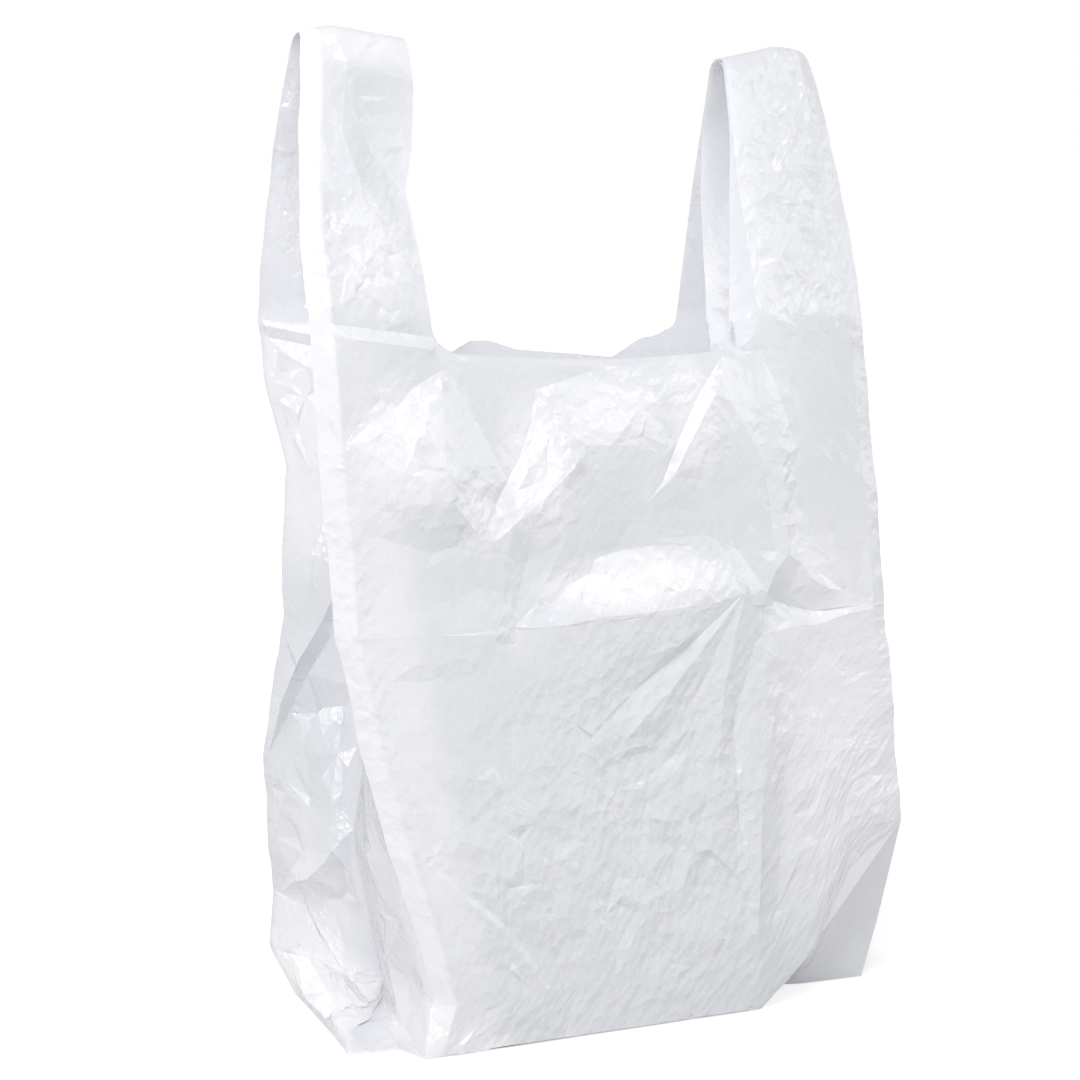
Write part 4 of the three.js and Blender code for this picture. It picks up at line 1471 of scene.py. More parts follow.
    ),
)

LEFT_NET = CreaseNet(
    width=80.0,
    points={
        "waist": (4, 107, 0), "strap_a": (13, 146, 4), "strap_b": (22, 178, 5),
        "strap_c": (38, 212, 4.5), "strap_d": (54, 246, 2), "gap_a": (16, 144, 0.5),
        "gap_b": (26, 176, 0), "gap_c": (43, 210, 0.5), "second_a": (19, 140, 3.6),
        "second_b": (31, 172, 5), "second_c": (48, 206, 4.5), "hollow_a": (38, 152, -2),
        "hollow_b": (52, 157, -3.5), "hollow_c": (66, 168, -3.5), "hollow_d": (62, 196, -1),
        "facet_a": (18, 105, 2.5), "facet_b": (30, 124, 1.5), "facet_c": (47, 127, 3),
        "facet_d": (57, 131, -0.5), "facet_e": (60, 106, 2.5), "facet_f": (38, 96, 0),
        "tip": (4, 2, 0.5), "brow_a": (14, 24, 2.5), "brow_b": (26, 46, 3), "brow_c": (45, 78, 4),
        "brow_d": (65, 103, 3), "fold_a": (24, 27, 6), "fold_b": (45, 54, 7),
        "fold_c": (66, 79, 5), "fold_d": (79, 90, 0.5), "under_a": (45, 34, -1.5),
        "under_b": (62, 48, -2.5), "spot": (22, 52, 0.5), "spot_up": (14, 70, 3),
        "rim_a": (27, 12, 3.5), "rim_b": (45, 7, 4), "rim_c": (62, -2, 3.5), "rim_d": (73, -40, 1.5),
        "lobe_a": (5, -16, 1.5), "lobe_b": (16, -16, 4.5), "lobe_c": (39, -24, 6.5),
        "lobe_d": (4, -28, 1.5), "lobe_e": (14, -30, 7), "lobe_f": (22, -50, 5.5),
        "lobe_g": (37, -54, 5), "lobe_h": (50, -40, 6),
        "upper_a": (3, 193, 0), "upper_b": (19, 168, 1.5), "upper_c": (24, 240, 1.5),
        "upper_d": (4, 245, 0), "upper_e": (18, 285, 3.5), "upper_f": (4, 289, 0),
        "upper_g": (30, 262, 0), "upper_h": (20, 322, 0.5), "upper_i": (4, 330, 1.5),
        "upper_j": (34, 312, 3), "band_a": (3, 357, 2), "band_b": (56, 351, 2),
        "band_c": (3, 351, 0.5), "band_d": (56, 345, 0.5),
        "loop_a": (2, 462, 0.5), "loop_b": (16, 457, 2.5), "loop_c": (7, 446, 0),
        "loop_d": (20, 438, 1), "loop_e": (12, 400, 1), "loop_f": (22, 372, 1),
    },
    creases=(
        "waist strap_a strap_b strap_c strap_d", "waist gap_a gap_b gap_c strap_d",
        "waist second_a second_b second_c strap_d", "second_b hollow_a hollow_b hollow_c hollow_d",
        "facet_a facet_b facet_c facet_d facet_e", "facet_a facet_f facet_e", "waist facet_a",
        "tip brow_a brow_b brow_c brow_d", "tip fold_a fold_b fold_c fold_d", "brow_b spot spot_up",
        "tip rim_a rim_b rim_c rim_d", "lobe_a lobe_b rim_b", "lobe_a lobe_c rim_d",
        "lobe_d lobe_e lobe_c", "lobe_f lobe_g lobe_h rim_d", "lobe_e lobe_f",
        "upper_a upper_b", "upper_a upper_c strap_c", "upper_d upper_c upper_g",
        "upper_f upper_e upper_g", "upper_e upper_h upper_i", "upper_h upper_j",
        "band_a band_b", "band_c band_d", "loop_a loop_b loop_d", "loop_a loop_c loop_d",
        "loop_e loop_f",
    ),
    crinkles=(
        Crinkle(38, -24, 38, 32, 0, 11, 1.9, 11),
        Crinkle(11, 447, 9, 12, 0, 6, 0.9, 12),
        Crinkle(22, 320, 22, 34, 0, 8, 1.6, 13),
        Crinkle(20, 215, 18, 50, -25, 9, 1.4, 14, 1.5),
        Crinkle(50, 130, 26, 44, -15, 9, 1.5, 15, 1.5),
        Crinkle(14, 70, 12, 40, 0, 9, 1.5, 16, 1.5),
        Crinkle(58, 50, 18, 40, -20, 9, 1.2, 17, 1.5),
    ),
    lift=1.5,
)
SIDE_NET = CreaseNet(
    width=80.0,
    points={
        "a": (20, 300, 2.5), "b": (55, 240, 3), "c": (14, 200, 2), "d": (50, 150, 3),
        "e": (22, 110, 2), "f": (60, 70, 3), "g": (12, 40, 2),
    },
    creases=("a b c", "b d e", "d f g"),
)
FRONT_SIDE_NET = CreaseNet(
    width=80.0,
    points={
        "slip_a": (2, 94, 0), "slip_b": (12, 66, 4), "slip_c": (51, 29, 6), "slip_d": (35, 21, 0),
        "slip_e": (57, 8, 1), "slip_f": (42, 9, 4), "slip_g": (19, 42, 0), "slip_h": (3, 8, 1),
        "slip_i": (12, 24, 3), "slip_j": (40, 110, 4), "slip_k": (20, 180, 3),
        "slip_l": (50, 240, 2), "slip_m": (14, 300, 2.5),
    },
    creases=(
        "slip_a slip_b slip_g slip_i slip_h", "slip_b slip_c slip_d slip_g",
        "slip_c slip_e slip_f slip_d", "slip_b slip_j slip_k slip_l slip_m",
    ),
    crinkles=(
        Crinkle(30, 60, 28, 70, 0, 9, 0.8, 31, 1.3),
        Crinkle(30, 260, 28, 90, 0, 12, 0.7, 32, 1.3),
    ),
)
BACK_NET = CreaseNet(
    width=300.0,
    points={
        "edge_a": (10, 340, 4), "edge_b": (11, 208, 4), "edge_c": (12, 90, 4),
        "edge_d": (290, 340, 4), "edge_e": (289, 208, 4), "edge_f": (288, 90, 4),
        "line_a": (30, 208, 3), "line_b": (90, 208, 6.5), "line_c": (160, 208, 7),
        "line_d": (215, 208, 5), "line_e": (270, 208, 3), "fall_a": (60, 318, 5),
        "fall_b": (95, 262, 7), "fall_c": (126, 238, 2), "rise_a": (246, 326, 5),
        "rise_b": (206, 270, 7), "rise_c": (180, 240, 2), "vee_a": (110, 330, 0),
        "vee_b": (150, 290, 4), "vee_c": (188, 328, 0), "down_a": (84, 150, 4),
        "down_b": (86, 40, 2), "down_c": (212, 140, 4), "down_d": (204, 36, 2),
        "slant_a": (262, 160, 4), "slant_b": (286, 70, 2), "star": (120, 170, 5),
        "ray_a": (150, 120, 2), "ray_b": (96, 110, 3), "ray_c": (160, 160, 3),
    },
    creases=(
        "edge_a edge_b edge_c", "edge_d edge_e edge_f",
        "edge_b line_a line_b line_c line_d line_e edge_e",
        "fall_a fall_b fall_c line_b", "rise_a rise_b rise_c line_d", "vee_a vee_b vee_c",
        "line_b down_a down_b", "line_d down_c down_d", "line_e slant_a slant_b",
        "line_c star ray_a", "star ray_b", "star ray_c",
    ),
    crinkles=(
        Crinkle(80, 290, 26, 24, 0, 8, 0.8, 21),
        Crinkle(210, 290, 26, 24, 0, 8, 0.8, 22),
        Crinkle(150, 226, 60, 12, 0, 9, 0.6, 23),
    ),
)

NETS = {
    Sheet.FRONT: FRONT_NET,
    Sheet.BACK: BACK_NET,
    Sheet.RIGHT_GUSSET_FRONT: SIDE_NET,
    Sheet.RIGHT_GUSSET_BACK: SIDE_NET,
    Sheet.LEFT_GUSSET_BACK: LEFT_NET,
    Sheet.LEFT_GUSSET_FRONT: FRONT_SIDE_NET,
}


@dataclass(frozen=True)
class Patch:
    """A soft-edged ellipse of a sheet in which the film is crumpled or gets a painted highlight.

    Attributes:
        x: its middle across the sheet.
        z: its middle height on the film.
        wide: half its width.
        high: half its height.
        most: its strength in the middle.
    """

    x: float
    z: float
    wide: float
    high: float
    most: float

    def strength(self, x: Array, z: Array) -> Array:
        """Its strength at each place: whole over the middle fifth of its area, then falling
        with the square of the distance to nothing at its border."""
        far = ((x - self.x) / self.wide) ** 2 + ((z - self.z) / self.high) ** 2
        return self.most * np.clip(1.25 * (1 - far), 0, 1)


# Where the film is crumpled, with how far its crumples stand out in millimetres
CRUMPLED = {
    Sheet.FRONT: (
        Patch(160, 100, 110, 150, 0.5),
        Patch(70, 60, 70, 110, 0.38),
        Patch(258, 40, 50, 110, 0.3),
        Patch(40, 300, 40, 50, 0.4),
        Patch(72, 268, 24, 30, 0.55),
        Patch(110, 286, 26, 40, 0.6),
        Patch(145, 312, 44, 34, 0.35),
        Patch(196, 308, 30, 46, 0.4),
        Patch(245, 290, 18, 60, 0.5),
        Patch(150, 220, 70, 22, 0.5),
        Patch(8, 180, 14, 200, 0.4),
        Patch(30, 395, 32, 60, 0.4),
        Patch(268, 410, 34, 80, 0.4),
    ),
    Sheet.BACK: (Patch(150, 150, 190, 260, 0.45), Patch(150, 430, 190, 60, 0.4)),
    Sheet.RIGHT_GUSSET_FRONT: (Patch(40, 200, 60, 300, 0.3),),
    Sheet.RIGHT_GUSSET_BACK: (Patch(40, 200, 60, 300, 0.3),),
    Sheet.LEFT_GUSSET_FRONT: (Patch(40, 200, 60, 300, 0.15),),
    Sheet.LEFT_GUSSET_BACK: (
        Patch(30, -20, 50, 40, 0.3),
        Patch(14, 250, 24, 90, 0.3),
        Patch(30, 410, 40, 60, 0.3),
    ),
}

# Painted highlights: where the film's colour is painted whiter for light falling on facets that
# face the lamps, up to 1 for the whitest
PAINTED_HIGHLIGHTS = {
    Sheet.FRONT: (
        Patch(152, 226, 56, 18, 1.0),
        Patch(36, 300, 34, 40, 0.7),
        Patch(78, 264, 16, 22, 0.6),
        Patch(108, 288, 22, 44, 0.7),
        Patch(150, 314, 36, 22, 0.5),
        Patch(196, 310, 14, 44, 0.5),
        Patch(20, 190, 22, 230, 0.5),
        Patch(275, 110, 60, 170, 0.6),
        Patch(264, 225, 30, 20, 0.6),
        Patch(30, 492, 40, 16, 0.6),
        Patch(34, 388, 22, 36, 0.5),
        Patch(28, 0, 30, 22, 0.8),
    ),
    Sheet.RIGHT_GUSSET_FRONT: (Patch(40, 0, 70, 130, 1.0), Patch(40, 400, 60, 110, 0.5)),
    Sheet.RIGHT_GUSSET_BACK: (Patch(40, 0, 70, 130, 1.0), Patch(40, 400, 60, 110, 0.5)),
    Sheet.LEFT_GUSSET_FRONT: (Patch(40, 30, 60, 90, 0.6),),
    Sheet.LEFT_GUSSET_BACK: (
        Patch(36, -24, 60, 50, 1.2),
        Patch(16, 300, 30, 80, 0.8),
        Patch(36, 50, 50, 50, 0.6),
        Patch(16, 420, 30, 60, 0.4),
    ),
}

# The back lip's wave: millimetres across the panel, and how far the lip stands up there
BACK_LIP = (
    (60, 0), (90, 0), (106, -4), (117, 2), (128, 2), (144, -3), (180, -6), (200, -8),
    (218, 2), (233, 4), (240, 0),
)


@dataclass(frozen=True)
class Relief:
    """How far the film stands out of its main form, from its creases and crumples.

    Attributes:
        film: the film's mesh.
        slack: how far even smooth film waves in and out, in millimetres.
        coarse: size of the large crumples.
        fine: size of the small ones.
        swell: how many times their own height the crumples stand out.
        calm: how far from a crease the crumples start.
        smoothing: how many times the film between creases takes its neighbours' mean.
        least: the fine crinkles' strength where the film is smooth.
        wander: how far an outer crease wanders from its straight run.
        wander_reach: how far in from the crease the film wanders with it.
        still: the length at the base and at the crests in which nothing wanders.
        sag: how far the front lip hangs down in its middle.
        lip_from: the height from which the film hangs with the lip.
        bevel: width of the flat band along the front left crease.
        bevel_depth: how far the crease lies back for it.
        bevel_foot: height over which the band grows from the base.
        bevel_head: length in which it ends before the crest.
        bulge: how far the front panel stands out beside the band.
        bulge_run: how soon it does, going inwards.
        settle_from: how far in from the band it starts to settle back.
        settle_over: how far on it has settled.
        bulge_foot: height over which the bulge grows from the base.
        bulge_end: length in which it ends before the lip and the right crease.
    """

    film: FilmMesh
    slack: float = 0.08
    coarse: float = 26.0
    fine: float = 12.0
    swell: float = 1.2
    calm: float = 8.0
    smoothing: int = 40
    least: float = 0.33
    wander: float = 0.9
    wander_reach: float = 20.0
    still: float = 30.0
    sag: float = 5.0
    lip_from: float = 240.0
    bevel: float = 9.0
    bevel_depth: float = 4.0
    bevel_foot: float = 30.0
    bevel_head: float = 12.0
    bulge: float = 6.0
    bulge_run: float = 21.0
    settle_from: float = 35.0
    settle_over: float = 75.0
    bulge_foot: float = 85.0
    bulge_end: float = 60.0

    def from_edge(self) -> Array:
        """Millimetres from the nearest outer crease or gusset fold."""
        form = self.film.form
        width = np.where(self.film.wide, form.panel_width, form.gusset_depth)
        return np.minimum(self.film.across, width - self.film.across)

    @staticmethod
    def pyramids(x: Array, z: Array, size: float, seed: int) -> Array:
        """The highest of many slanting pyramids, which stand at random places.

        Each cell of a square lattice holds one pyramid, shaken from the cell's middle, turned
        and of random height. A pyramid falls from its tip with the distance along its two
        axes, less steeply on one than on the other. The value is the highest of those in the
        25 cells round a place.

        Args:
            x: places across.
            z: places up.
            size: the cells' size.
            seed: the seed of the random pyramids.

        Returns:
            The height, in the same unit as the size.
        """
        random = np.random.default_rng(seed)
        count = 128
        shake = random.uniform(-0.4, 0.4, (count, count, 2))
        angle = random.uniform(0, math.pi, (count, count))
        tip = random.uniform(0.2, 1.6, (count, count))
        column, row = np.floor(x / size).astype(int), np.floor(z / size).astype(int)
        highest = np.full(np.shape(x), -1e9)
        for right in range(-2, 3):
            for upward in range(-2, 3):
                i, j = (column + right) % count, (row + upward) % count
                dx = x / size - (column + right + 0.5) - shake[i, j, 0]
                dz = z / size - (row + upward + 0.5) - shake[i, j, 1]
                along = dx * np.cos(angle[i, j]) + dz * np.sin(angle[i, j])
                aside = dz * np.cos(angle[i, j]) - dx * np.sin(angle[i, j])
                fall = np.abs(aside) + 0.5 * np.abs(along) + 0.3 * np.hypot(dx, dz)
                highest = np.maximum(highest, tip[i, j] * 0.55 - fall)
        return highest * size

    def crumples(self) -> Array:
        """The crumples' height: the difference of two fields of pyramids, for ridges and
        valleys alike, large and small. A handle's two layers crumple as one."""
        film = self.film
        handle_x = film.from_crease + 200.0 * film.right + 430.0 * film.behind
        panel_x = film.across + 350.0 * film.sheet
        z = film.height + 100
        in_handle = fade(film.height - film.form.shoulder + 10, 30)
        turned = np.where(film.wide, 1, -1)

        def ridges(x: Array, size: float, valleys: float, seeds: tuple[int, int]) -> Array:
            """One field of pyramids less another whose size is a share of the first's."""
            up = self.pyramids(x, z, size, seeds[0])
            return up - self.pyramids(x, z, size * valleys, seeds[1])

        def field(x: Array) -> Array:
            """Large and small crumples at places across."""
            large = ridges(x, self.coarse, 0.93, (3, 9))
            small = ridges(x, self.fine, 0.9, (5, 6))
            return large / self.coarse + 0.55 * small / self.fine

        return mix(field(panel_x), field(handle_x) * turned, in_handle)

    def strongest(self, table: dict[Sheet, tuple[Patch, ...]], least: float) -> Array:
        """The strongest patch of a table at each vertex, or the least value."""
        film = self.film
        total = np.full(len(film.points), least)
        for sheet, patches in table.items():
            on_sheet = film.on(sheet)
            for patch in patches:
                strength = patch.strength(film.across[on_sheet], film.height[on_sheet])
                total[on_sheet] = np.maximum(total[on_sheet], strength)
        return total

    def strength(self) -> Array:
        """How far the crumples stand out at each vertex."""
        return self.strongest(CRUMPLED, self.slack)

    def painted_highlight(self) -> Array:
        """How strong the painted highlight is at each vertex: a whiter colour painted where light
        falls on facets that face the lamps, and on the band beside the front left crease."""
        # The band beside the front left crease gets a painted highlight, for the light on the
        # panel's turn.
        band_end, band_fade = self.bevel + 2, 2.5
        band = fade(band_end - self.film.across, band_fade)
        total = self.strongest(PAINTED_HIGHLIGHTS, 0.0)
        total = np.maximum(total, np.where(self.film.on(Sheet.FRONT), band, 0))
        return np.clip(total, 0, 1)

    def crumpled(self) -> Array:
        """How strong the fine crinkles are at each vertex: 1 where the film is crumpled."""
        return np.clip(self.least + 1.3 * self.strength(), self.least, 1.0)

    def rise(self) -> Array:
        """How far each vertex stands out, in millimetres."""
        film = self.film
        edge = self.from_edge()
        held = film.creased | (edge < ON_CREASE / 5)
        creased = film.relaxed(film.rise, held, self.smoothing)
        crumples = self.crumples() * self.strength() * fade(edge, self.calm) * self.swell
        return creased + self.rounded() + crumples

    def rounded(self) -> Array:
        """The front panel's soft turn towards its left crease: it rises from the crease's
        border, levels out with a falling exponential and settles back to the panel's own
        place in a slow smooth step, and it fades at the base and the lip."""
        film, form = self.film, self.film.form
        inward = np.maximum(film.across - self.bevel, 0)
        settled = fade(inward - self.settle_from, self.settle_over)
        risen = 1 - np.exp(-inward / self.bulge_run) - settled**2 * (3 - 2 * settled)
        foot = fade(film.height, self.bulge_foot)
        head = fade(form.lip_height - film.height, self.bulge_end)
        right = fade(form.panel_width - film.across, self.bulge_end)
        return np.where(film.on(Sheet.FRONT), self.bulge * risen * (foot * head) * right, 0)

    def bevelled(self) -> Array:
        """How far each vertex lies back for the flat band along the front left crease."""
        film = self.film
        weight = np.clip(1 - film.across / self.bevel, 0, 1) * fade(film.height, self.bevel_foot)
        weight = weight * fade(film.from_crest, self.bevel_head)
        beside = film.on(Sheet.FRONT, Sheet.LEFT_GUSSET_FRONT)
        return np.where(beside, self.bevel_depth * weight, 0)

    def wandering(self) -> Array:
        """How far each vertex moves with the outer crease near it. The crease sways in three
        sine waves and nods in two, each of its own length, and each crease has its own phase."""
        film, z = self.film, self.film.height
        weight = np.clip(1 - film.from_crease / self.wander_reach, 0, 1)
        weight = weight * fade(z, self.still) * fade(film.from_crest, self.still)
        phase = 1.7 * film.right + 3.1 * film.behind
        sway = np.sin(z / 23 + phase) + 0.6 * np.sin(z / 9.1 + 2 * phase)
        sway = sway + 0.35 * np.sin(z / 4.3 + phase)
        nod = np.sin(z / 19 + 2 * phase + 1) + 0.5 * np.sin(z / 7.7 + phase)
        far = weight * self.wander * 0.5
        return np.stack([sway, nod, np.zeros_like(z)], axis=1) * far[:, None]

    def lip(self) -> Array:
        """How far each vertex hangs or stands with the lip near it: the front lip sags in the
        shape of a half wave, and the back lip waves."""
        film, form = self.film, self.film.form
        mouth_width = form.panel_width - 2 * form.handle_width
        from_handle = film.across - form.handle_width
        weight = fade(film.height - self.lip_from, form.lip_height - self.lip_from) ** 2
        front = -self.sag * np.sin(np.pi * fade(from_handle, mouth_width))
        back = follow(BACK_LIP, film.across)[..., 0]
        moved = np.where(film.on(Sheet.FRONT), front, 0) + np.where(film.on(Sheet.BACK), back, 0)
        between = (from_handle > 0) & (from_handle < mouth_width)
        return np.where(between, moved * weight, 0)

    def moved(self) -> Array:
        """The film's points, moved out by their rise and along with their lip and crease."""
        points = self.film.points + self.film.normals() * self.rise()[:, None]
        points = points + self.wandering()
        points[:, 1] += self.bevelled()
        points[:, 2] += self.lip()
        points[:, 2] = np.maximum(points[:, 2], self.film.form.floor)
        return points


def linear(hex_colour: str) -> tuple[float, float, float, float]:
    """An sRGB hex colour as linear red, green, blue and 1."""
    values = [int(hex_colour[place : place + 2], 16) / 255 for place in (1, 3, 5)]
    turned = [v / 12.92 if v <= 0.04045 else ((v + 0.055) / 1.055) ** 2.4 for v in values]
    return (*turned, 1.0)


def add_node(
    tree: bpy.types.NodeTree, kind: str, settings: dict | None = None, **links: object
) -> bpy.types.Node:
    """Adds a node.

    Args:
        tree: the node tree.
        kind: the node's type, without the words ShaderNode.
        settings: attributes to set on it.
        links: for each input socket, by name with _ for a space or by number after an i,
            a value or the output socket that feeds it.

    Returns:
        The node.
    """
    node = tree.nodes.new("ShaderNode" + kind)
    for name, value in (settings or {}).items():
        setattr(node, name, value)
    for name, value in links.items():
        key = int(name[1:]) if name[0] == "i" and name[1:].isdigit() else name.replace("_", " ")
        if isinstance(value, bpy.types.NodeSocket):
            tree.links.new(value, node.inputs[key])
        else:
            node.inputs[key].default_value = value
    return node


def new_material(name: str) -> tuple[bpy.types.Material, bpy.types.NodeTree]:
    """A material with an empty node tree."""
    material = bpy.data.materials.new(name)
    material.use_nodes = True
    material.node_tree.nodes.clear()
    return material, material.node_tree


@dataclass(frozen=True)
class BlownPolyethyleneFilm:
    """White blown high-density polyethylene film, about 0.018 mm thick.

    To the eye it is a hazy white sheet that lets some light through, with a soft gloss and a
    fine crinkle. On facets that face the lamps its colour is painted whiter, a painted highlight.

    Attributes:
        colour: the smooth film's own white.
        painted_highlight_white: the whiter colour of the painted highlight.
        roughness: how far the haze spreads a reflection.
        ior: how strongly the surface reflects.
        through: the share of light that passes into the sheet and out behind.
        crinkle: the size of its small facets, in millimetres.
        crinkle_rise: how high they stand, in millimetres.
        ripple: the size of its finest ripples.
        ripple_rise: how high they stand.
        length: how much longer than wide the facets are.
        larger: the second facets' size, as a multiple of the first's.
        leans: degrees that the facets, the second facets and the ripples lean.
        bend: the size of the soft noise that bends them, in millimetres.
        bend_far: how far it bends them, in units of the film's map.
    """

    colour: str = "#EBECF0"
    painted_highlight_white: str = "#FDFDFF"
    roughness: float = 0.15
    ior: float = 1.54
    through: float = 0.2
    crinkle: float = 5.5
    crinkle_rise: float = 0.55
    ripple: float = 2.8
    ripple_rise: float = 0.14
    length: float = 1.6
    larger: float = 1.6
    leans: tuple[float, float, float] = (-38.0, 27.0, 64.0)
    bend: float = 16.0
    bend_far: float = 0.03

    def pyramids(
        self,
        tree: bpy.types.NodeTree,
        place: bpy.types.NodeSocket,
        size: float,
        metric: str,
        turn: float,
    ) -> bpy.types.NodeSocket:
        """Flat-sided long pyramids round random places: the distance to the nearest one,
        counted along two turned axes or by the longer of them.

        Args:
            tree: the material's node tree.
            place: the place on the flat film, in units of 100 mm.
            size: the pyramids' width in millimetres.
            metric: how the distance is counted.
            turn: degrees that they lean to the left.

        Returns:
            The distance, about 0 to 1.
        """
        turned = add_node(
            tree,
            "Mapping",
            {"vector_type": "TEXTURE"},
            Vector=place,
            Rotation=(0.0, 0.0, math.radians(turn)),
            Scale=(1.0, self.length, 1.0),
        )
        node = add_node(
            tree,
            "TexVoronoi",
            {"distance": metric, "voronoi_dimensions": "2D"},
            Vector=turned.outputs["Vector"],
            Scale=UV_UNIT / size,
        )
        return node.outputs["Distance"]

    def relief(self, tree: bpy.types.NodeTree) -> bpy.types.NodeSocket:
        """The height of the fine crinkles: pyramids counted along the axes, less larger ones
        counted by the longer axis, plus small ripples, on a flat film bent by a soft noise.
        It grows where the film is crumpled.

        Args:
            tree: the material's node tree.

        Returns:
            The height in millimetres.
        """
        minus, plus, times = ({"operation": name} for name in ("SUBTRACT", "ADD", "MULTIPLY"))
        flat = add_node(tree, "UVMap", {"uv_map": "flat_film"}).outputs["UV"]
        noise = add_node(tree, "TexNoise", Vector=flat, Scale=UV_UNIT / self.bend, Detail=0.0)
        noise = noise.outputs["Color"]
        push = add_node(tree, "VectorMath", {"operation": "SCALE"}, i0=noise, Scale=self.bend_far)
        place = add_node(tree, "VectorMath", plus, i0=flat, i1=push.outputs["Vector"])
        place = place.outputs["Vector"]
        lean, lean_two, lean_small = self.leans
        one = self.pyramids(tree, place, self.crinkle, "MANHATTAN", lean)
        two = self.pyramids(tree, place, self.crinkle * self.larger, "CHEBYCHEV", lean_two)
        small = self.pyramids(tree, place, self.ripple, "MANHATTAN", lean_small)
        both = add_node(tree, "Math", minus, i0=one, i1=two).outputs["Value"]
        share = self.ripple_rise / self.crinkle_rise
        ripple = add_node(tree, "Math", times, i0=small, i1=share).outputs["Value"]
        total = add_node(tree, "Math", plus, i0=both, i1=ripple).outputs["Value"]
        crumpled = add_node(tree, "Attribute", {"attribute_name": "crumpled"}).outputs["Fac"]
        return add_node(tree, "Math", times, i0=total, i1=crumpled).outputs["Value"]

    def make(self) -> bpy.types.Material:
        """Makes the material: a glossy body and a share of light let through, both bent by
        the fine crinkles, and a colour painted whiter as a highlight where the mesh marks it."""
        material, tree = new_material("white_polyethylene_film")
        height = self.relief(tree)
        bump = add_node(tree, "Bump", Height=height, Distance=self.crinkle_rise * MM, Strength=1.0)
        facing = bump.outputs["Normal"]
        # Painted highlight: the colour below is mixed towards a whiter white on facets that face the
        # lamps.
        painted_highlight = add_node(tree, "Attribute", {"attribute_name": "painted_highlight"})
        white = add_node(
            tree,
            "Mix",
            {"data_type": "RGBA"},
            i0=painted_highlight.outputs["Fac"],
            i6=linear(self.colour),
            i7=linear(self.painted_highlight_white),
        ).outputs[2]
        body = add_node(
            tree,
            "BsdfPrincipled",
            Base_Color=white,
            Roughness=self.roughness,
            IOR=self.ior,
            Normal=facing,
        )
        haze = add_node(tree, "BsdfTranslucent", Color=white, Normal=facing)
        film = add_node(
            tree, "MixShader", i0=self.through, i1=body.outputs["BSDF"], i2=haze.outputs["BSDF"]
        )
        add_node(tree, "OutputMaterial", Surface=film.outputs["Shader"])
        return material


class CarrierBag:
    """The bag's film as a Blender mesh."""

    def __init__(self, form: BagForm, fine: Fineness) -> None:
        """Works out the film's mesh."""
        self.film = FilmMesh(form, fine)

    def sharpen(self, mesh: bpy.types.Mesh) -> None:
        """Marks each edge along a crease as sharp, besides those that are sharp already."""
        ends = np.zeros(len(mesh.edges) * 2, np.int32)
        mesh.edges.foreach_get("vertices", ends)
        on_crease = self.film.creased[ends.reshape(-1, 2)].all(axis=1)
        sharp = mesh.attributes["sharp_edge"].data
        before = np.zeros(len(mesh.edges), bool)
        sharp.foreach_get("value", before)
        sharp.foreach_set("value", before | on_crease)

    def build(self, low: Vector, high: Vector) -> bpy.types.Object:
        """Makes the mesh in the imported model's place.

        Args:
            low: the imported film's lowest corner, in metres.
            high: its highest corner.

        Returns:
            The object, at the origin.
        """
        film = self.film
        relief = Relief(film)
        points = relief.moved() * MM
        middle = (points.min(0) + points.max(0)) / 2
        shift = np.array([(low.x + high.x) / 2 - middle[0], (low.y + high.y) / 2 - middle[1], 0])
        points = points + shift
        mesh = bpy.data.meshes.new("bag_skin")
        mesh.vertices.add(len(points))
        mesh.vertices.foreach_set("co", points.astype(np.float32).ravel())
        mesh.loops.add(film.faces.size)
        mesh.loops.foreach_set("vertex_index", film.faces.astype(np.int32).ravel())
        mesh.polygons.add(len(film.faces))
        mesh.polygons.foreach_set("loop_start", np.arange(0, film.faces.size, 3, dtype=np.int32))
        mesh.polygons.foreach_set("use_smooth", np.ones(len(film.faces), bool))
        mesh.update(calc_edges=True)
        mesh.validate()
        mesh.set_sharp_from_angle(angle=math.radians(SHARP_FROM))
        self.sharpen(mesh)
        crumpled = mesh.attributes.new("crumpled", "FLOAT", "POINT")
        crumpled.data.foreach_set("value", relief.crumpled().astype(np.float32))
        # Painted highlight: how much whiter the film's colour is painted at each vertex.
        painted_highlight = mesh.attributes.new("painted_highlight", "FLOAT", "POINT")
        painted_highlight.data.foreach_set("value", relief.painted_highlight().astype(np.float32))
        flat = mesh.uv_layers.new(name="flat_film")
        flat.data.foreach_set("uv", (film.corners / UV_UNIT).astype(np.float32).ravel())
        bag = bpy.data.objects.new("bag_skin", mesh)
        bpy.context.scene.collection.objects.link(bag)
        return bag


@dataclass(frozen=True)
class Lamp:
    """A soft rectangular lamp that faces the bag.

    Attributes:
        name: its name.
        place: where it stands, in metres.
        size: its width and height.
        power: its power in watts.
    """

    name: str
    place: tuple[float, float, float]
    size: tuple[float, float]
    power: float

    def build(self, aim: Vector) -> None:
        """Adds the lamp, facing a point in metres."""
        data = bpy.data.lights.new(self.name, "AREA")
        data.shape = "RECTANGLE"
        data.size, data.size_y = self.size
        data.energy = self.power
        lamp = bpy.data.objects.new(self.name, data)
        bpy.context.scene.collection.objects.link(lamp)
        lamp.location = self.place
        back = Vector(self.place) - aim
        lamp.rotation_euler = back.to_track_quat("Z", "Y").to_euler()


